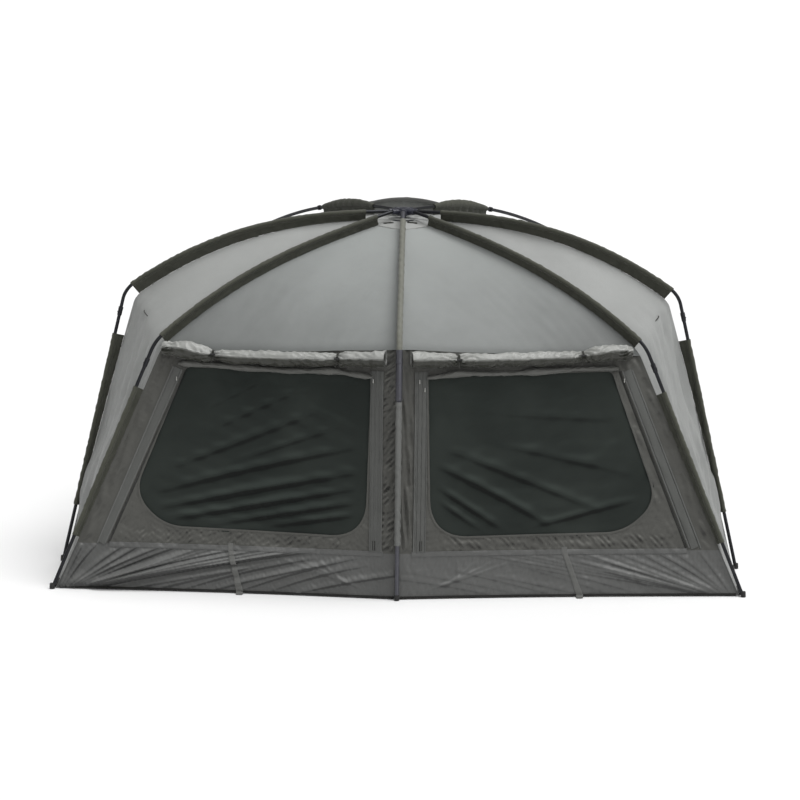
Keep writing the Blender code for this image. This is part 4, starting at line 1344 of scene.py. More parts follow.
@dataclass
class Sleeve:
    """A cloth sleeve: a tube round the pole on a fin that stands on the skin's seam."""
    rib: RibCurve
    word: str
    start: float
    stop: float
    finish: ClothFinish
    seed: int
    half: float = 0.0017
    slack: float = 0.0030
    step: float = 0.010
    hem: float = 0.014
    hump: float = 0.0
    mouth: float = 0.22

    def _spread(self) -> Array:
        """Stations in even steps along the sleeve, closer at its two hems."""
        fine = np.linspace(self.start, self.stop, 800)
        along = lengths(self.rib.line(fine))
        inside = np.arange(self.hem * 1.4, along[-1] - self.hem * 1.4, self.step)
        ends = np.array([0.0, 0.002, self.hem - 0.001, self.hem, self.hem + 0.0015])
        return np.interp(np.unique(np.concatenate([ends, inside, along[-1] - ends])), along, fine)

    def build(self) -> None:
        """Sweep the section, add its creases and hems, and sew its seams."""
        q = self._spread()
        line = self.rib.line(q)
        depth, along = self.rib.depth(line)[:, None], lengths(line)
        length, tube = along[-1], self.rib.radius + self.slack
        angle = np.linspace(-0.5 * np.pi + self.mouth, 1.5 * np.pi - self.mouth, 21)
        base = -(depth - 0.0010)
        left_a = base + (-tube * math.cos(self.mouth) - base) * np.linspace(0.0, 1.0, 6)[None, :-1]
        ones = np.ones_like(left_a)
        a = np.concatenate([left_a, tube * np.sin(angle)[None, :] * ones[:, :1], left_a[:, ::-1]], 1)
        b = np.concatenate([self.half * ones, tube * np.cos(angle)[None, :] * ones[:, :1], -self.half * ones], 1)
        wave, fold = Ripple(self.seed, 0.055, waves=12), Ripple(self.seed + 1, 0.030, (1.0, 2.4), 25.0, 12)
        run = along[:, None] + 0 * a
        hang = np.clip((-a) / depth, 0, 1) * np.clip((a + depth) / 0.006, 0, 1)
        free = smooth(run, 0.0, 0.012) * smooth(run, length, length - 0.012)
        b = b + hang * free * (0.0024 * wave(run, a) + 0.0010 * fold(run, a))
        hems = np.maximum(smooth(run, self.hem + 0.001, self.hem),
                          smooth(run, length - self.hem - 0.001, length - self.hem))
        swell = 0.0007 * fold(run, b * 2 + a) * free + 0.0008 * hems
        round_part = np.zeros(a.shape)
        round_part[:, 5:-5] = 1.0
        bulge = self.hump * np.sin(np.pi * np.clip(run / length, 0, 1)) ** 0.8
        a = a + round_part * (swell * a + bulge * (a + tube) / 2) / tube
        b = b * (1 + round_part * swell / tube)
        b = b + (1 - round_part) * np.sign(b) * np.maximum(0, swell) * 0.6
        way = self.rib.turn(self.rib.normal(q))[:, None]
        points = grounded(self.rib.place(line)[:, None] + way * a[..., None]
                          + sideways(self.rib.azimuth) * b[..., None])
        name = f"{self.word}_sleeve_{self.rib.name}"
        # Painted light: shade on the fin and a highlight on the tube's top, passed as slope.
        shade = 0.34 - round_part * (0.22 + 0.46 * np.clip(a / tube, 0, 1))
        piece(f"cloth_{name}", points.reshape(-1, 3), capped(*a.shape), self.finish, Slot.SLEEVE,
              pairs(lengths(np.stack([a[0], b[0]], -1))[None, :], run), [name], slope=shade)
        self._stitch(name, q[2:-2], tube)

    def _stitch(self, name: str, q: Array, tube: float) -> None:
        """Two rows of stitches on each face of the fin."""
        line = self.rib.line(q)
        centre, way, side = self.rib.place(line), self.rib.turn(self.rib.normal(q)), sideways(self.rib.azimuth)
        lines = []
        for face in (-1, 1):
            for a in (-np.full(len(q), tube + 0.0035), -(self.rib.depth(line) - 0.0045)):
                points = centre + way * a[:, None] + side * face * (self.half + 0.0009)
                lines.append({"points": points, "way": unit(np.gradient(points, axis=0))})
        ROWS.run(f"stitches_{name}", lines, THREAD, Slot.SLEEVE, Pitch=0.0085, Length=0.0058, Radius=0.0006, Sides=3)


def build_sleeves(rib: RibCurve, seed: int) -> None:
    """The upper and the lower sleeve of a rib."""
    leg = rib.below_corner(rib.lower_end) - ELBOW_REACH
    start = Q_LEG + (Q_HEM - Q_LEG) * (rib.lower_start - ELBOW_REACH) / leg
    stop = Q_MIDDLE if rib.sleeve_end else 13.6 if rib is CENTRE else 10.8
    upper, lower = (PALE_SLEEVE_CLOTH, PIPING_CLOTH) if rib is CENTRE else (SLEEVE_CLOTH, SLEEVE_CLOTH)
    Sleeve(rib, "upper", Q_SLEEVE, stop, upper, seed, hump=0.019 if rib.sleeve_end else 0.0).build()
    Sleeve(rib, "lower", start, Q_HEM, lower, seed + 5).build()


@dataclass(frozen=True)
class FrontPlan:
    """Where things are on one half of the front, mostly as places (x, z) of its wall.

    Covers are given as (x, radius) and (x, z) along them, the net's folds as start, end, width, height and bow.
    """
    window: WindowShape
    zips: tuple[tuple[Spot, Spot], tuple[Spot, Spot]]
    strap_x: Spot
    pulls: tuple[Spot, ...]
    ties: Spot
    cover_radii: Table
    cover_heights: Table
    inner_cover: Table
    net_lean: float
    net_folds: tuple[tuple[Spot, Spot, float, float, float], ...]


PLANS = {
    Side.LEFT: FrontPlan(
        WindowShape(((0.117, 0.909, 0.012), (0.136, 0.248, 0.155), (0.990, 0.266, 0.088), (1.117, 0.395, 0.088),
                     (0.905, 0.914, 0.020))),
        (((0.923, 0.902), (1.236, 0.188)), ((0.961, 0.915), (1.270, 0.187))),
        (0.704, 0.659), ((0.107, 0.896), (0.945, 0.872)), (0.251, 0.782),
        ((0.050, 0.036), (0.066, 0.037), (0.094, 0.036), (0.110, 0.032), (0.150, 0.031), (0.210, 0.031),
         (0.251, 0.020), (0.290, 0.028), (0.350, 0.031), (0.500, 0.031), (0.650, 0.031), (0.740, 0.029),
         (0.782, 0.019), (0.820, 0.034), (0.870, 0.041), (0.930, 0.038), (0.960, 0.028), (0.980, 0.031),
         (1.003, 0.024)),
        ((0.05, 0.980), (0.15, 0.975), (0.30, 0.965), (0.50, 0.959), (0.70, 0.958), (0.80, 0.964), (0.89, 0.973),
         (0.95, 0.978), (1.01, 0.979)),
        ((0.110, 0.903), (0.20, 0.911), (0.27, 0.920), (0.46, 0.912), (0.68, 0.918), (0.80, 0.924), (0.94, 0.926)),
        0.4, (((0.84, 0.74), (0.50, 0.92), 0.014, 0.006, 0.004), ((0.80, 0.66), (0.38, 0.86), 0.014, 0.007, 0.0),
              ((0.98, 0.50), (0.34, 0.76), 0.018, 0.011, 0.006), ((0.74, 0.52), (0.24, 0.70), 0.014, 0.008, 0.0),
              ((1.04, 0.40), (0.16, 0.62), 0.018, 0.014, -0.006), ((1.06, 0.33), (0.14, 0.52), 0.017, 0.016, 0.0),
              ((1.00, 0.290), (0.14, 0.455), 0.015, 0.016, 0.004), ((0.82, 0.27), (0.14, 0.395), 0.015, 0.015, 0.0),
              ((0.62, 0.265), (0.14, 0.345), 0.013, 0.013, 0.0))),
    Side.RIGHT: FrontPlan(
        WindowShape(((0.121, 0.907, 0.012), (0.138, 0.250, 0.165), (0.955, 0.262, 0.088), (1.090, 0.385, 0.088),
                     (0.897, 0.914, 0.020))),
        (((0.942, 0.915), (1.229, 0.196)), ((0.984, 0.920), (1.278, 0.194))),
        (0.700, 0.770), ((0.084, 0.896), (0.106, 0.862), (0.950, 0.884)), (0.240, 0.768),
        ((0.044, 0.034), (0.062, 0.035), (0.090, 0.034), (0.105, 0.030), (0.150, 0.031), (0.200, 0.031),
         (0.240, 0.020), (0.285, 0.028), (0.350, 0.030), (0.500, 0.029), (0.640, 0.030), (0.725, 0.028),
         (0.768, 0.019), (0.810, 0.031), (0.870, 0.036), (0.910, 0.034), (0.935, 0.027), (0.955, 0.031),
         (0.980, 0.024)),
        ((0.05, 0.978), (0.15, 0.974), (0.30, 0.968), (0.50, 0.966), (0.70, 0.969), (0.80, 0.975), (0.89, 0.981),
         (0.95, 0.983), (1.02, 0.982)),
        ((0.115, 0.902), (0.24, 0.915), (0.45, 0.911), (0.62, 0.917), (0.77, 0.926), (0.93, 0.924)),
        -0.4, (((0.13, 0.48), (0.46, 0.265), 0.014, 0.012, 0.0), ((0.14, 0.42), (0.37, 0.262), 0.012, 0.010, 0.0),
               ((0.13, 0.56), (0.66, 0.28), 0.016, 0.014, 0.008), ((0.18, 0.62), (0.88, 0.34), 0.018, 0.011, 0.0),
               ((0.36, 0.64), (0.98, 0.50), 0.018, 0.008, 0.0), ((0.52, 0.275), (1.02, 0.40), 0.014, 0.011, 0.0),
               ((0.30, 0.76), (0.90, 0.72), 0.018, 0.005, 0.0))),
}


@dataclass
class FrontDoor:
    """One front door: its cloth round the window, the hem band, the net, the zips and the tapes."""
    wall: FrontWall
    plan: FrontPlan
    seed: int
    flap_x: Spot = (0.066, 0.117)
    seam: float = 0.186
    centre: Spot = (0.58, 0.58)
    thickness: float = 0.0012

    @property
    def word(self) -> str:
        """left or right."""
        return self.wall.side.word

    def wrinkle(self) -> None:
        """Lay out the wrinkles of the whole half."""
        wall, seed = self.wall, self.seed
        small = Ripple(seed, 0.040, (1.0, 2.2), 35.0, 14)
        tiny = Ripple(seed + 1, 0.018, (1.0, 1.8), -20.0, 14)
        upright = Ripple(seed + 2, 0.030, (1.0, 6.0), 4.0, 12)
        pucker = Ripple(seed + 3, 0.019, (1.0, 3.4), 48.0, 12)
        broad = Ripple(seed + 4, 0.160, (1.6, 1.0), 15.0)
        left = wall.side is Side.LEFT

        def fine(x: Array, z: Array) -> Array:
            """Fine wrinkles by region."""
            above = smooth(z, self.seam - 0.01, self.seam + 0.02)
            outer = smooth(wall.edge_x(z) - x, 0.22, 0.10) * above
            inner = smooth(x, 0.075, 0.060) * above
            under = smooth(z, 0.262, 0.240) * above * smooth(x, 0.13, 0.25) * smooth(x, 1.20, 1.05)
            total = 0.0014 * small(x, z) * (0.4 + outer) + 0.0007 * tiny(x, z)
            total = total + inner * (0.0024 * (pucker(x, z) if left else upright(x, z)))
            total = total + under * 0.0014 * pucker(x, z) + 0.0020 * broad(x, z)
            return total * (1 - 0.45 * (1 - above))

        wall.fine = fine
        wall.stiff = [Fold(a, b, 0.022, 0.85, 0.0, 0.05) for a, b in self.plan.zips]
        rng = np.random.default_rng(seed + 9)
        reach = float(wall.edge_x(0.0)) - 0.02
        pull = 1.0 if left else 0.34
        for i in range(13):
            top = 1.34 - 0.084 * i + rng.uniform(-0.02, 0.02)
            wall.folds.append(Fold((reach - 0.014 * i, 0.004 + 0.001 * i), (top, self.seam - 0.004),
                                   rng.uniform(0.008, 0.012), pull * rng.uniform(0.0105, 0.0145),
                                   rng.uniform(-0.010, 0.006), 0.3, 0.5))
        for i in range(8):
            start = 1.28 - 0.12 * i
            wall.folds.append(Fold((start, 0.006), (start - rng.uniform(0.44, 0.62), rng.uniform(0.10, 0.17)),
                                   rng.uniform(0.010, 0.015), pull * rng.uniform(0.0075, 0.0110),
                                   rng.uniform(-0.012, 0.002), 0.6, 0.5))
        for i in range(4):
            wall.folds.append(Fold((0.52 - 0.09 * i, 0.16), (0.10 + 0.05 * i, 0.03 + 0.01 * i), 0.007, 0.0030,
                                   0.004, 0.8))

    def _outline(self, sides: int = 90, wide: int = 170) -> Array:
        """Places round the door's cloth: up its inner edge, out along the eave, down and back along the seam."""
        wall, seam, sign = self.wall, self.seam, self.wall.side.value
        top = wall.bare(EAVE, np.linspace(0.0, 1.0, wide))[0]
        outer = wall.bare(np.linspace(EAVE, Q_HEM + 0.3, 300), 1.0)[0]
        outer_z = np.linspace(top[-1, 2], seam, sides)
        inside, outside = 0.0012, float(wall.edge_x(seam)) - 0.0005
        return np.concatenate([
            pairs(inside, np.linspace(seam, top[0, 2], sides))[:-1],
            pairs(top[:, 0] * sign, top[:, 2])[:-1],
            pairs(np.interp(-outer_z, -outer[:, 2], outer[:, 0] * sign), outer_z)[:-1],
            pairs(np.linspace(outside, inside, wide), seam)[:-1]])

    def build_panel(self) -> None:
        """The door's cloth, laid in rings round the window."""
        loop, centre = self._outline(), np.array(self.centre)
        way = loop - centre
        reach = np.linalg.norm(way, axis=1)
        way = way / reach[:, None]
        hole = ray_hit(self.plan.window.even(500), centre, way)
        at = hole[None, :] + (reach - hole)[None, :] * np.linspace(0.0, 1.0, 28)[:, None]
        spots = centre + way[None] * at[..., None]
        x, z = spots[..., 0], spots[..., 1]
        face, hint = self.wall.at(x, z)
        # The folds' slope drives the painted shade and highlights of the door cloth.
        made = sewn(f"door_cloth_{self.word}", (face, face - grid_normals(face, hint, True) * self.thickness), (x, z),
                    DOOR_CLOTH, Slot.DOOR, [f"door_{self.word}"], self.wall.slope(x, z), True)
        stretch(made, loop[:, 0].max(), loop[:, 1].max() - self.seam,
                cloth_area(np.concatenate([face, face[:, :1]], 1)) * 0.985,
                "pole_upper_front_centre", f"pole_upper_front_{self.word}")

    def build_hem(self) -> None:
        """The hem band below the seam, with the long folds that fan out from the corner."""
        wall = self.wall
        level = np.linspace(GROUND_GAP, self.seam, 46)
        edge = wall.edge_x(level)
        x = 0.0012 + (edge[:, None] - 0.0017) * np.linspace(0.0, 1.0, 320)[None, :]
        z = level[:, None] + 0 * x
        outer, hint = wall.at(x, z)
        outer = grounded(outer)
        inner = grounded(outer - grid_normals(outer, hint) * self.thickness)
        # The folds' slope drives the painted shade and highlights of the hem.
        made = sewn(f"hem_cloth_{self.word}", (outer, inner), (x, z), HEM_CLOTH, Slot.DOOR, slope=wall.slope(x, z))
        flat, _ = wall.at(x, z, wrinkled=False)
        stretch(made, edge.max(), self.seam * 1.10, cloth_area(flat) * 1.08, f"door_cloth_{self.word}")

    def build_net(self) -> None:
        """The window's mesh, slack enough to hang in slanting folds."""
        wall, window = self.wall, self.plan.window
        loop = window.even(900, -0.012)
        foot, top = loop[:, 1].min() + 0.0004, loop[:, 1].max() - 0.0015
        rows = np.concatenate([np.linspace(foot, foot + 0.03, 9)[:-1], np.linspace(foot + 0.03, top, 84)])
        after = np.roll(loop, -1, axis=0)
        ends = []
        for level in rows:
            cross = (loop[:, 1] - level) * (after[:, 1] - level) <= 0
            a, b = loop[cross], after[cross]
            drop = b[:, 1] - a[:, 1]
            flat = np.abs(drop) < 1e-9
            t = np.where(flat, 0.5, (level - a[:, 1]) / np.where(flat, 1, drop))
            spots = a[:, 0] + (b[:, 0] - a[:, 0]) * t
            ends.append((spots.min(), spots.max()))
        low, high = np.array(ends).T[..., None]
        x = low + (high - low) * np.linspace(0.0, 1.0, 130)[None, :]
        z = rows[:, None] + 0 * x
        free = smooth(x - low, 0.01, 0.10) * smooth(high - x, 0.01, 0.10)
        free = free * smooth(z, window.sill, window.sill + 0.07) * smooth(z, window.head + 0.01, window.head - 0.04)
        soft = Ripple(self.seed + 20, 0.22, (2.4, 1.0), 16.0)
        fine = Ripple(self.seed + 21, 0.060, (3.0, 1.0), 18.0, 12)
        folds = [Fold(*sizes, lean=self.plan.net_lean) for sizes in self.plan.net_folds]
        relief = total_relief(folds, x, z) + 0.0022 * soft(x, z) + 0.0009 * fine(x, z)
        outer, hint = wall.at(x, z, -0.0045 + free * (relief - 0.004), wrinkled=False)
        # The folds' slope drives the painted shade and highlights of the net.
        made = sewn(f"window_net_{self.word}", (outer, outer - grid_normals(outer, hint) * 0.0007), (x, z),
                    WINDOW_NET, Slot.NET, [f"window_mesh_{self.word}"],
                    np.gradient(free * relief, axis=0) / np.gradient(z, axis=0) * 1.3)
        stretch(made, high.max() - low.min(), (rows[-1] - rows[0]) * 1.02, cloth_area(outer),
                f"door_cloth_{self.word}")

    def build_tapes(self) -> None:
        """Binding round the window, zips with their flaps, the storm flap and the seam band."""
        wall, word, seam = self.wall, self.word, self.seam
        loop = self.plan.window.even(220, -0.004)
        wall.strip(f"window_binding_{word}", np.concatenate([loop, loop[:1]]), (0.009, 0.0011), DOOR_CLOTH, 0.0005,
                   0.012, 0.0006)
        (a, b), (c, d) = self.plan.zips
        middle = [((a[0] + c[0]) / 2, (a[1] + c[1]) / 2), ((b[0] + d[0]) / 2, (b[1] + d[1]) / 2)]
        wall.strip(f"zip_flap_{word}", middle, (0.034, 0.0018), FLAP_CLOTH, 0.0012, 0.010, 0.0022)
        for number, line in enumerate(self.plan.zips, 1):
            wall.strip(f"zip_piping_{word}_{number}", line, (0.0055, 0.0022), PIPING_CLOTH, 0.0010, 0.010, 0.0014)
        inside = [(x - 0.013, z) for x, z in (a, b)]
        wall.strip(f"zip_tape_{word}", inside, (0.009, 0.0005), ZIP_TAPE, 0.0006, 0.012, slot=Slot.WEBBING)
        self._teeth(f"zip_teeth_{word}", inside)
        inner, outer = self.flap_x
        mid, top = (inner + outer) / 2, self.plan.window.head + 0.02
        wall.strip(f"storm_flap_{word}", [(mid + 0.001, top), (mid, seam + 0.004)], (outer - inner, 0.0022),
                   FLAP_CLOTH, 0.0012, 0.010, 0.0006)
        for number, share in enumerate((0.02, 0.30, 0.62, 0.98), 1):
            x = inner + (outer - inner) * share
            wall.strip(f"flap_seam_{word}_{number}", [(x + 0.001, top), (x, seam + 0.006)], (0.0045, 0.0010),
                       PIPING_CLOTH if number == 1 else FLAP_CLOTH, 0.0044, 0.012, 0.0012)
        wall.strip(f"flap_slit_{word}", [(mid + 0.006, seam + 0.050), (mid + 0.006, seam + 0.010)], (0.012, 0.0004),
                   ZIP_TAPE, 0.0042, 0.006, slot=Slot.WEBBING)
        band = [(inner - 0.006, seam - 0.003), (float(wall.edge_x(seam)) - 0.14, seam - 0.003)]
        wall.strip(f"hem_seam_{word}", band, (0.021, 0.0014), HEM_CLOTH, 0.0012, 0.007, 0.0010)

    def _teeth(self, name: str, path: Table) -> None:
        """Two rows of zip teeth along a path."""
        line, _, normal = follow(path, 0.012)
        lines = []
        for sign in (-1, 1):
            spots = line + normal * sign * 0.0011
            point, far = (self.wall.at(*(spots + normal * s).T, 0.0022)[0] for s in (0.0, 0.01))
            lines.append({"points": point, "way": unit(far - point)})
        ROWS.run(name, lines, ZIP_NYLON, Slot.WEBBING, Pitch=0.0032, Length=0.0038, Radius=0.0010, Sides=4)

    def build_strap(self) -> None:
        """Webbing strap from the hem seam down to the ground, its end lying forward."""
        z = np.linspace(self.seam + 0.018, 0.010, 30)
        middle_x = np.interp(z, [0.0, self.seam], [self.plan.strap_x[1], self.plan.strap_x[0]])
        shares = np.array([-1.0, -0.85, -0.4, 0.0, 0.4, 0.85, 1.0])
        width = np.interp(z, [0.0, 0.03, 0.06, self.seam], [0.030, 0.029, 0.0245, 0.023])
        x = middle_x[:, None] + shares[None, :] * width[:, None] / 2
        level, _ = self.wall.at(x, z[:, None] + 0 * x)
        level[..., 1] = np.minimum(level.mean(1, keepdims=True)[..., 1], level[..., 1].min(1)[:, None]) - 0.0012
        tail = np.repeat(level[-1:], 4, 0)
        tail[..., 1] -= np.array([0.004, 0.010, 0.018, 0.026])[:, None]
        tail[..., 2] = np.array([0.0060, 0.0042, 0.0036, 0.0036])[:, None]
        tail[-1, :, 0] = tail[-1, 3, 0] + (tail[-1, :, 0] - tail[-1, 3, 0]) * 0.82
        back = np.concatenate([level, tail])
        out = np.cross(unit(np.gradient(back[:, 3], axis=0)), np.array([1.0, 0.0, 0.0]))
        out = out * np.sign(-out[:, 1:2] + 1e-9)
        out[-4:] = UP * 0.8 + out[-4:] * 0.2
        front = back + unit(out)[:, None] * (0.0020 * (1 - 0.5 * (np.abs(shares) > 0.9)))[None, :, None]
        sewn(f"webbing_strap_{self.word}", (front, back), (shares[None, :] * 0.012, lengths(back[:, 3])[:, None]),
             OLIVE_WEBBING, Slot.WEBBING, [f"strap_{self.word}"])

    def build(self) -> None:
        """Make all the door's pieces."""
        self.wrinkle()
        self.build_panel()
        self.build_hem()
        self.build_net()
        self.build_tapes()
        self.build_strap()


@dataclass
class WindowRoll:
    """A window's rolled-up cover, tied twice along the head of the door, with a thinner roll under it."""
    wall: FrontWall
    plan: FrontPlan
    seed: int
    under_radius: float = 0.013
    around: int = 64
    step: float = 0.0045
    open_rings: int = 16
    loose_edge: Spot = (4.25, 4.10)

    def _frames(self, x: Array, heights: Table, lift: Array) -> Array:
        """Centres, outward vectors and upward vectors along a roll, stacked."""
        centre, way = self.wall.at(x, softened(look_up(x, heights), 15), lift, wrinkled=False)
        return np.stack([centre, way, unit(UP - way * way[:, 2:3])])

    def _relief(self, x: Array, t: Array) -> tuple[Array, Array]:
        """Height of the roll's folds at x and the angle t, and how near a tie is, from 0 to 1."""
        long_crease = Ripple(self.seed, 0.030, waves=12)
        twist = Ripple(self.seed + 1, 0.038, (2.6, 1.0), 24.0, 12)
        soft = Ripple(self.seed + 2, 0.09, (1.5, 1.0))
        run = t * 0.035
        pinch = np.zeros(x.shape)
        for tie in self.plan.ties:
            away = np.abs(x - tie)
            pinch = np.maximum(pinch, np.exp(-away / 0.055) * smooth(away, 0.0, 0.010))
        last = self.plan.cover_radii[-1][0]
        ends = smooth(x, last - 0.10, last - 0.02)
        drift = 0.9 * soft(x * 0.5, np.cos(t) * 0.04 + np.sin(t) * 0.04)
        flutes = np.abs(np.cos(3.5 * t + drift + 2.0 * soft(x, run * 0.3))) ** 1.3
        relief = 0.0120 * pinch * (flutes - 0.4) + 0.0085 * ends * (flutes - 0.5)
        relief += 0.0024 * twist.crease(x, run) + 0.0006 * long_crease(x, run) + 0.0018 * soft(x, run)
        return relief, pinch

    def build_cover(self) -> None:
        """The thick roll: pinched at its ties, creased along, open at the inner end."""
        word, table, depth = self.wall.side.word, self.plan.cover_radii, self.open_rings
        line = np.arange(table[0][0], table[-1][0] + self.step / 2, self.step)
        radius = softened(look_up(line, table), 9)
        frames = self._frames(line, self.plan.cover_heights, radius + 0.003)
        theta = np.linspace(0, 2 * np.pi, self.around, endpoint=False)
        x, t = np.broadcast_arrays(line[:, None], theta[None, :])
        relief, pinch = self._relief(x, t)
        relief = relief + (smooth(t, *self.loose_edge) * 0.0028 - 0.0010) * (1 - pinch)
        r = radius[:, None] * (1 - 0.05 * np.sin(t)) + relief
        outer, inner = rings(frames, t, r), rings(frames[:, :depth], theta, r[:depth] - 0.0030)
        rows, columns = x.shape
        base, near = rows * columns, np.arange(columns)
        after = np.roll(near, -1)
        faces = [*quads(rows, columns, True), *quads(depth, columns, True, base)[:, ::-1],
                 *np.stack([near, after, base + after, base + near], -1), range(base - columns, base),
                 range(base + (depth - 1) * columns, base + depth * columns)]
        uv = pairs(x, t * 0.04)
        made = piece(f"window_cover_{word}", np.concatenate([outer.reshape(-1, 3), inner.reshape(-1, 3)]), faces,
                     ROLL_CLOTH, Slot.DOOR, np.concatenate([uv, uv[:depth * columns]]), [f"window_roll_{word}"], 60.0)
        self._layers(frames[:, 1:depth - 1], float(radius[:depth].mean()) - 0.006)
        self._bands(line, frames, r, theta)

    def _layers(self, frames: Array, reach: float) -> None:
        """The turns of cloth that show in the open end."""
        turn = np.linspace(0.0, 2 * np.pi * 3.2, 130)
        r = 0.006 + (reach - 0.006) * (turn / turn[-1]) ** 0.85
        along = np.linspace(0, 0.05, frames.shape[1])
        sewn(f"cover_turns_{self.wall.side.word}", (rings(frames, turn, r), rings(frames, turn, r - 0.0014)),
             (along[:, None], turn[None, :] * 0.02), ROLL_UNDER_CLOTH, Slot.DOOR)

    def _bands(self, x: Array, frames: Array, r: Array, theta: Array) -> None:
        """Elastic ties round the roll, each with a toggle and a loose end."""
        bar = [(0, 0.0015), (0.001, 0.0042), (0.006, 0.0046), (0.012, 0.0034), (0.018, 0.0046), (0.023, 0.0042),
               (0.024, 0.0015)]
        for number, tie in enumerate(self.plan.ties, 1):
            name = f"{self.wall.side.word}_{number}"
            near = np.abs(x - tie) < 0.0075
            faces = tuple(rings(frames[:, near], theta, r[near].mean(0) + lift) for lift in (0.0032, 0.0008))
            sewn(f"cover_tie_{name}", faces, (x[near][:, None], theta[None, :] * 0.03), DARK_WEBBING, Slot.WEBBING,
                 wrap=True)
            row = int(np.argmin(np.abs(x - tie)))
            centre, way, up = frames[:, row]
            spot, across = centre + way * (float(r[row, 0]) + 0.007), unit(np.cross(way, up))
            TUBES.run(f"cover_toggle_{name}", [turned(spot - across * 0.012, across, bar)], RUBBER, Slot.WEBBING,
                      Sides=14)
            low = spot - up * 0.010 - way * 0.003
            line = np.array([low, low - up * 0.012 + across * 0.003, low - up * 0.026 + across * 0.004])
            TUBES.run(f"tie_end_{name}", [spun(line, [0.0022, 0.0022, 0.0018])], DARK_WEBBING, Slot.WEBBING, Sides=8)

    def build_under(self) -> None:
        """The thin roll of the inner sheet, sagging under the cover."""
        table = self.plan.inner_cover
        x = np.arange(table[0][0], table[-1][0], 0.006)
        wave = Ripple(self.seed + 5, 0.16, waves=8)
        crease = Ripple(self.seed + 6, 0.030, (2.4, 1.0), 12.0, 12)
        radius = self.under_radius * (1 + 0.14 * wave(x, 0 * x))
        radius = radius * (0.55 + 0.45 * smooth(x, x[0], x[0] + 0.03) * smooth(x, x[-1], x[-1] - 0.03))
        theta = np.linspace(0, 2 * np.pi, 40, endpoint=False)
        r = radius[:, None] + 0.0016 * crease.crease(x[:, None], theta[None, :] * 0.016)
        points = rings(self._frames(x, table, radius + 0.002), theta, r)
        made = piece(f"inner_cover_{self.wall.side.word}", points.reshape(-1, 3), capped(*r.shape), ROLL_UNDER_CLOTH,
                     Slot.DOOR, pairs(x[:, None], theta[None, :] * 0.016), crease=60.0)

    def build(self) -> None:
        """Make both rolls."""
        self.build_cover()
        self.build_under()


@dataclass
class Hub:
    """The hub: a moulded knuckle with a socket for each rib, on the washer that clamps the crown."""
    radius: float = 0.034
    height: float = 0.034
    stem: float = 0.012
    washer: float = 0.064
    socket_wall: float = 0.0035

    def build(self) -> None:
        """Make the hub as one piece of turned parts."""
        foot_z = HUB_HEIGHT - CROWN_DEPTH + 0.0003
        base, top = HUB_HEIGHT - self.height / 2, HUB_HEIGHT + self.height / 2
        lines = [turned(np.array([0.0, HUB_Y, 0.0]), UP, [
            (foot_z, self.washer - 0.002), (foot_z + 0.0008, self.washer), (foot_z + 0.0030, self.washer),
            (foot_z + 0.0040, self.washer - 0.002), (foot_z + 0.0044, self.stem + 0.012),
            (foot_z + 0.0060, self.stem + 0.004), (foot_z + 0.0120, self.stem), (base - 0.006, self.stem),
            (base - 0.001, self.stem + 0.010), (base, self.radius - 0.003), (base + 0.003, self.radius),
            (top - 0.007, self.radius), (top - 0.002, self.radius - 0.003), (top - 0.0010, self.radius - 0.006),
            (top - 0.0014, 0.019), (top - 0.0002, 0.018), (top, 0.0165), (top, 0.006), (top - 0.0012, 0.0050),
            (top - 0.0014, 0.0010)])]
        for rib in RIBS:
            start, way = rib.place(np.array([0.010, HUB_HEIGHT])), outward(rib.azimuth)
            r = rib.radius + self.socket_wall
            lines.append(turned(start, way, [
                (0.0, r), (0.030, r), (0.0305, r + 0.0010), (0.0335, r + 0.0010), (0.0340, r), (0.0450, r),
                (0.0455, r + 0.0012), (0.0510, r + 0.0012), (0.0520, r), (0.0520, rib.radius + 0.0004)]))
            pin = start + way * 0.040 + UP * (r - 0.0008)
            lines.append(turned(pin, UP, [(0, 0.0034), (0.0016, 0.0034), (0.0024, 0.0022), (0.0026, 0.0006)]))
        TUBES.run("hub_knuckle", lines, HUB_NYLON, Slot.HUB, ["hub_boss"], crease=35.0, Sides=40)


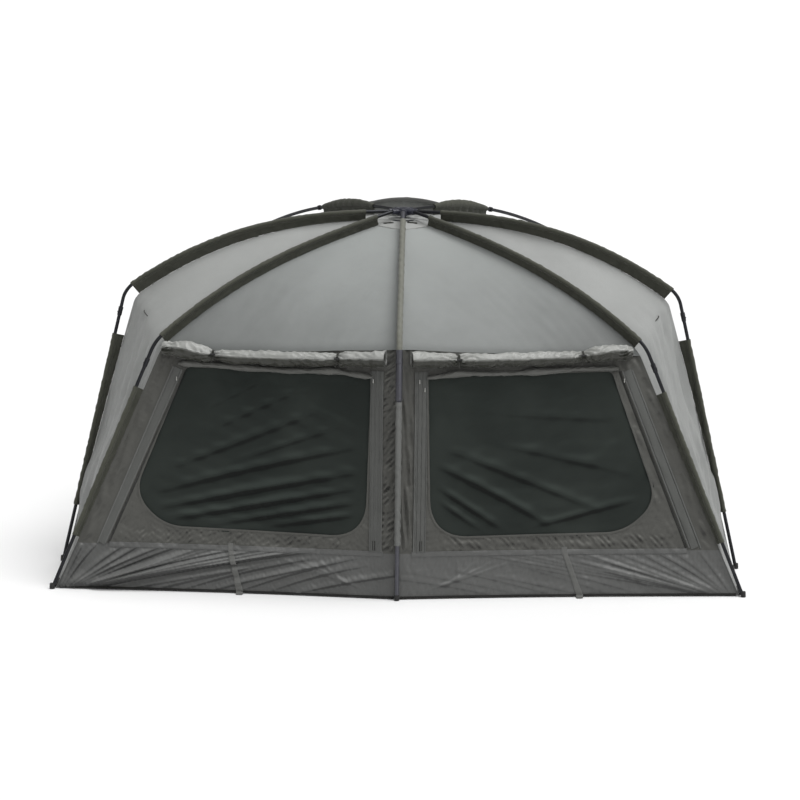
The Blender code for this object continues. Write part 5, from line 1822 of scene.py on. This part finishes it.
@dataclass
class Crown:
    """The reinforcing patch over the crown and its clamp, with its stitches and two webbing slots."""
    gores: Sequence[Gore]
    reach: float = 0.150
    lift: float = 0.0016
    slots: Table = ((-0.064, -0.070), (0.041, -0.070))
    slot_half: Spot = (0.022, 0.0036)

    def _plain(self) -> tuple[Array, Array]:
        """Points and up directions of the patch: over the clamp, then down the skin to a straight edge."""
        share = np.array([0.12, 0.2, 0.3, 0.4, 0.5, 0.62, 0.75, 0.88, 0.985, 1.0])[:, None]
        t = np.linspace(0.0, 1.0, 15)[:-1]
        middle = np.array([0.0, HUB_Y, HUB_HEIGHT - CROWN_DEPTH])
        rows, hints = [], []
        for gore in self.gores:
            edge = gore.first.station(self.reach) * (1 - t) + gore.second.station(self.reach) * t
            points, way = gore.surface(share * edge[None, :], t[None, :])
            out = points[0] - middle
            out[:, 2] = 0.0
            over = [middle + unit(out) * r + UP * z for r, z in ((0.0165, 0.0068), (0.045, 0.0052), (0.0655, 0.0046))]
            rows.append(np.concatenate([over, points]))
            hints.append(np.concatenate([np.zeros((3, len(t), 3)) + UP, way]))
        return np.concatenate(rows, 1), np.concatenate(hints, 1)

    def build(self) -> None:
        """Lay the patch over all the gores round the hub."""
        plain, hint = self._plain()
        bend = Ripple(5, 0.05, waves=8)
        lift = self.lift + 0.0006 * bend(plain[..., 0], plain[..., 1]) + 0.0004
        lift[-1] = 0.0006
        outer = plain + hint * lift[..., None]
        self._slots(outer.reshape(-1, 3))
        made = piece("crown_patch", *thick_grid(outer, plain + hint * 0.0003, True), CROWN_CLOTH, Slot.ROOF)
        stretch(made, 2 * np.abs(plain[..., 0]).max(), plain[..., 1].max() - plain[..., 1].min(),
                cloth_area(np.concatenate([plain, plain[:, :1]], 1)), "hub_knuckle")
        ring = plain[-2] + hint[-2] * (self.lift + 0.0009)
        ring = np.concatenate([ring, ring[:1]])
        ROWS.run("stitches_crown", [{"points": ring, "way": unit(np.gradient(ring, axis=0))}], THREAD, Slot.ROOF,
                 Pitch=0.0075, Length=0.0050, Radius=0.0006, Sides=3)

    def _slots(self, patch: Array) -> None:
        """Two short flat webbing loops on the patch, in front of the hub."""
        wide, deep = self.slot_half
        across, down = np.meshgrid(np.linspace(-wide, wide, 13), np.linspace(deep, -deep, 5))
        bulge = 0.0018 * (1 - (across / wide) ** 2) * (1 - (down / 0.004) ** 2)
        for number, (x, y) in enumerate(self.slots, 1):
            spots = np.stack([x + across, HUB_Y + y + down], -1)
            far = np.linalg.norm(patch[None, None, :, :2] - spots[:, :, None, :], axis=-1)
            weight = 1 / np.maximum(far, 0.002) ** 4
            z = (weight * patch[:, 2]).sum(-1) / weight.sum(-1)
            top = np.concatenate([spots, (z + 0.0026 + bulge)[..., None]], -1)
            sewn(f"crown_slot_{number}", (top, top - UP * 0.0014), (down, across), DARK_WEBBING, Slot.ROOF)


@dataclass
class VentHood:
    """The cloth hood over the rear vent, between the two rear ribs' fins, and the vent's panel under it."""
    gore: Gore
    front: float = 0.300
    back: float = 0.620
    rise: float = 0.040
    edge_lift: float = 0.040
    inset: float = 0.0118
    rows: int = 40
    columns: int = 60

    def _roof(self, x: Array, r: Array) -> Array:
        """Height of the rear gore's skin at x and a distance behind the hub."""
        q = np.linspace(Q_CROWN, Q_STOP, 400)
        middle, side = (self.gore.surface(q, t)[0] for t in (0.5, 0.0))
        z_mid = np.interp(r, middle[:, 1] - HUB_Y, middle[:, 2])
        x_edge = np.interp(r, side[:, 1] - HUB_Y, np.abs(side[:, 0]))
        z_edge = np.interp(r, side[:, 1] - HUB_Y, side[:, 2])
        share = np.clip(np.abs(x) / np.maximum(x_edge, 1e-6), 0, 1)
        return z_mid + (z_edge - z_mid) * share ** 2

    def _edge(self, r: "Array | float") -> "Array | float":
        """Half width between the fins at a distance behind the hub."""
        angle = math.radians(180.0 - REAR_AZIMUTH)
        return r * math.tan(angle) - self.inset / math.cos(angle)

    def surface(self, u: Array, v: Array) -> Array:
        """Points of the hood; u from -1 to 1 across, v from 0 at the brim to 1 at the back."""
        r = self.front + (self.back - self.front) * v
        x = u * self._edge(r)
        fall = 1 - v ** 1.6
        rise = self.edge_lift * fall + self.rise * fall * (1 - u ** 2) + 0.0035
        return np.stack([x, HUB_Y + r, self._roof(x, r) + rise], -1)

    def build(self) -> None:
        """Make the hood, its brim and the vent's panel."""
        u, v = np.linspace(-1, 1, self.columns)[None, :], np.linspace(0, 1, self.rows)[:, None]
        outer = self.surface(u + 0 * v, v + 0 * u)
        wave = Ripple(31, 0.09, (1.0, 1.8))
        outer[..., 2] += 0.0016 * wave(outer[..., 0], outer[..., 1]) * (1 - v) * (1 - u ** 2)
        inner = outer - grid_normals(outer, np.zeros(outer.shape) + UP) * 0.0010
        made = sewn("vent_hood_cloth", (outer, inner), (outer[..., 0], outer[..., 1]), HOOD_CLOTH, Slot.SLEEVE,
                    ["vent_hood"])
        stretch(made, 2 * self._edge(self.back), (self.back - self.front) * 1.02, cloth_area(outer),
                "cloth_upper_sleeve_rear_left", "cloth_upper_sleeve_rear_right")
        self._brim(u[0])
        self._panel()

    def _brim(self, u: Array) -> None:
        """A wired tape along the hood's front edge."""
        drop = np.array([0.0015, 0.0, -0.003, -0.007, -0.011, -0.014])
        forward = -0.0012 - 0.002 * np.array([0, .5, 1, 1, 1, .8])
        face = self.surface(u, 0 * u)[None] + np.stack([0 * drop, forward, drop], -1)[:, None]
        sewn("vent_hood_brim", (face, face + np.array([0.0, 0.0022, 0.0])), (face[..., 0], face[..., 2]), HOOD_CLOTH,
             Slot.SLEEVE)

    def _panel(self) -> None:
        """The pale vent panel that stands from the roof up to the hood."""
        u = np.linspace(-1, 1, 50)
        top = self.surface(u * 0.985, 0 * u + 0.08) - UP * 0.003
        foot = top.copy()
        foot[:, 2] = self._roof(top[:, 0], top[:, 1] - HUB_Y) + 0.0015
        face = foot[None] + (top - foot)[None] * np.linspace(0.0, 1.0, 12)[:, None, None]
        wave = Ripple(41, 0.05, (1.0, 2.0), waves=8)
        face[..., 1] += 0.0015 * wave(face[..., 0], face[..., 2])
        made = sewn("vent_panel_cloth", (face, face + np.array([0.0, 0.0010, 0.0])), (face[..., 0], face[..., 2]),
                    CROWN_CLOTH, Slot.ROOF, ["vent_panel"])
        stretch(made, 2 * np.abs(top[:, 0]).max(), (top[:, 2] - foot[:, 2]).max(), cloth_area(face),
                "vent_hood_cloth")


@dataclass
class Trim:
    """Small parts on the cloth: the dark welt at the ground, the tie-out loops and the zip pulls."""
    gores: dict[str, Gore]
    walls: dict[Side, FrontWall]
    welt_height: float = 0.0090
    welt_radius: float = 0.0048
    welt_reach: float = 0.007

    def _welt(self) -> None:
        """The welt along the foot of every bay."""
        lines = []
        t = np.linspace(0.006, 0.994, 90)
        for name, gore in self.gores.items():
            if not name.startswith("roof"):
                points, way = gore.surface(Q_GROUND - 0.05, t)
                lines.append(points + way * self.welt_reach)
        for wall in self.walls.values():
            x = np.linspace(0.012, float(wall.edge_x(0.01)) - 0.010, 90)
            lines.append(wall.at(x, self.welt_height + 0 * x, 0.001, wrinkled=False)[0])
        for points in lines:
            points[:, 2] = self.welt_height
        TUBES.run("ground_welt", [spun(points, [self.welt_radius] * len(points)) for points in lines], ZIP_TAPE,
                  Slot.WEBBING, Sides=10)

    def _loops(self) -> None:
        """One tie-out loop on each narrow side bay, level with the elbows."""
        s = np.linspace(-1.0, 1.0, 15)
        lines = []
        for name, t in (("side_panel_left", 0.66), ("side_panel_right", 0.34)):
            points, way = self.gores[name].surface(11.9, t + 0.055 * s)
            lines.append(spun(points + way * (0.0030 + 0.010 * (1 - s ** 2))[:, None], [0.0021] * len(s)))
        TUBES.run("tie_out_loops", lines, DARK_WEBBING, Slot.WEBBING, Sides=10)

    def _pulls(self) -> None:
        """Pale tabs on the zips."""
        profile = [(0.0, 0.0012), (0.0015, 0.0024), (0.006, 0.0019), (0.013, 0.0027), (0.0165, 0.0022),
                   (0.018, 0.001)]
        lines = [turned(wall.at(np.array([x]), np.array([z]), 0.0085)[0][0], np.array([0.0, -0.12, -1.0]), profile)
                 for side, wall in self.walls.items() for x, z in PLANS[side].pulls]
        TUBES.run("zip_pulls", lines, PULL_METAL, Slot.WEBBING, Sides=12)

    def build(self) -> None:
        """Make all the trim."""
        self._welt()
        self._loops()
        self._pulls()


@dataclass
class Studio:
    """Plain pale floor, soft light and the camera."""
    target_height: float = 0.6467
    distance: float = 13.0
    elevation: float = 11.0
    yaw: float = 0.75
    roll: float = 0.50
    lens: float = 130.3
    shift: float = -0.00216
    sky: float = 0.38
    floor_reach: float = 150.0

    def build_camera(self) -> None:
        """Set the camera at the photograph's angle."""
        data = bpy.data.cameras.new("camera")
        data.lens, data.sensor_width, data.shift_x, data.clip_end = self.lens, 36.0, self.shift, 400.0
        camera = linked("camera", data)
        e, y, roll = (math.radians(v) for v in (self.elevation, self.yaw, self.roll))
        back = Vector((math.sin(y) * math.cos(e), -math.cos(y) * math.cos(e), math.sin(e)))
        right = Vector((0.0, 0.0, 1.0)).cross(back).normalized()
        up = back.cross(right)
        cos, sin = math.cos(roll), math.sin(roll)
        turn = Matrix((right * cos + up * sin, up * cos - right * sin, back))
        place = Vector((0.0, HUB_Y, self.target_height)) + back * self.distance
        camera.matrix_world = Matrix.Translation(place) @ turn.transposed().to_4x4()
        bpy.context.scene.camera = camera

    def build_light(self) -> None:
        """Even sky, a broad key from above and a weak fill from the front."""
        world = bpy.data.worlds.new("studio")
        world.use_nodes = True
        sky = world.node_tree.nodes["Background"].inputs
        sky["Color"].default_value, sky["Strength"].default_value = (1.0, 1.0, 1.0, 1.0), self.sky
        bpy.context.scene.world = world
        bpy.context.scene.view_settings.view_transform = "Standard"
        for name, power, spread, place in (("key", 2.50, 46.0, (0.9, 0.0, 2.8)),
                                           ("fill", 0.45, 70.0, (1.8, -2.6, 1.4))):
            data = bpy.data.lights.new(name, "SUN")
            data.energy, data.angle = power, math.radians(spread)
            lamp = linked(name, data)
            lamp.rotation_mode = "QUATERNION"
            lamp.rotation_quaternion = Vector(place).to_track_quat("Z", "Y")

    def build_floor(self) -> None:
        """A wide pale floor."""
        mesh = bpy.data.meshes.new("floor")
        corners = [(x * self.floor_reach, y * self.floor_reach, 0) for x, y in ((-1, -1), (1, -1), (1, 1), (-1, 1))]
        mesh.from_pydata(corners, [], [(0, 1, 2, 3)])
        paint = Paint("floor")
        paper = paint.mix(paint.noise(0.6) * 0.3, (0.90, 0.90, 0.90), (0.88, 0.88, 0.88))
        mesh.materials.append(paint.dress(Base_Color=paper, Roughness=0.9, Specular_IOR_Level=0.1))
        linked("floor", mesh)

    def build(self) -> None:
        """Make the whole studio."""
        self.build_camera()
        self.build_light()
        self.build_floor()


def main() -> None:
    """Build the tent's pieces in order and report them."""
    logging.basicConfig(level=logging.INFO, format="%(name)s %(message)s")
    Studio().build()
    skin = Skin()
    skin.build()
    for number, rib in enumerate(RIBS):
        Pole(rib).build()
        build_sleeves(rib, 300 + 20 * number)
    walls = {side: FrontWall(side) for side in Side}
    for number, (side, wall) in enumerate(walls.items()):
        FrontDoor(wall, PLANS[side], 500 + 100 * number).build()
        WindowRoll(wall, PLANS[side], 700 + 100 * number).build()
    Hub().build()
    Crown(list(skin.gores.values())).build()
    VentHood(skin.gores["rear_panel"]).build()
    Trim(skin.gores, walls).build()


if __name__ == "__main__":
    main()
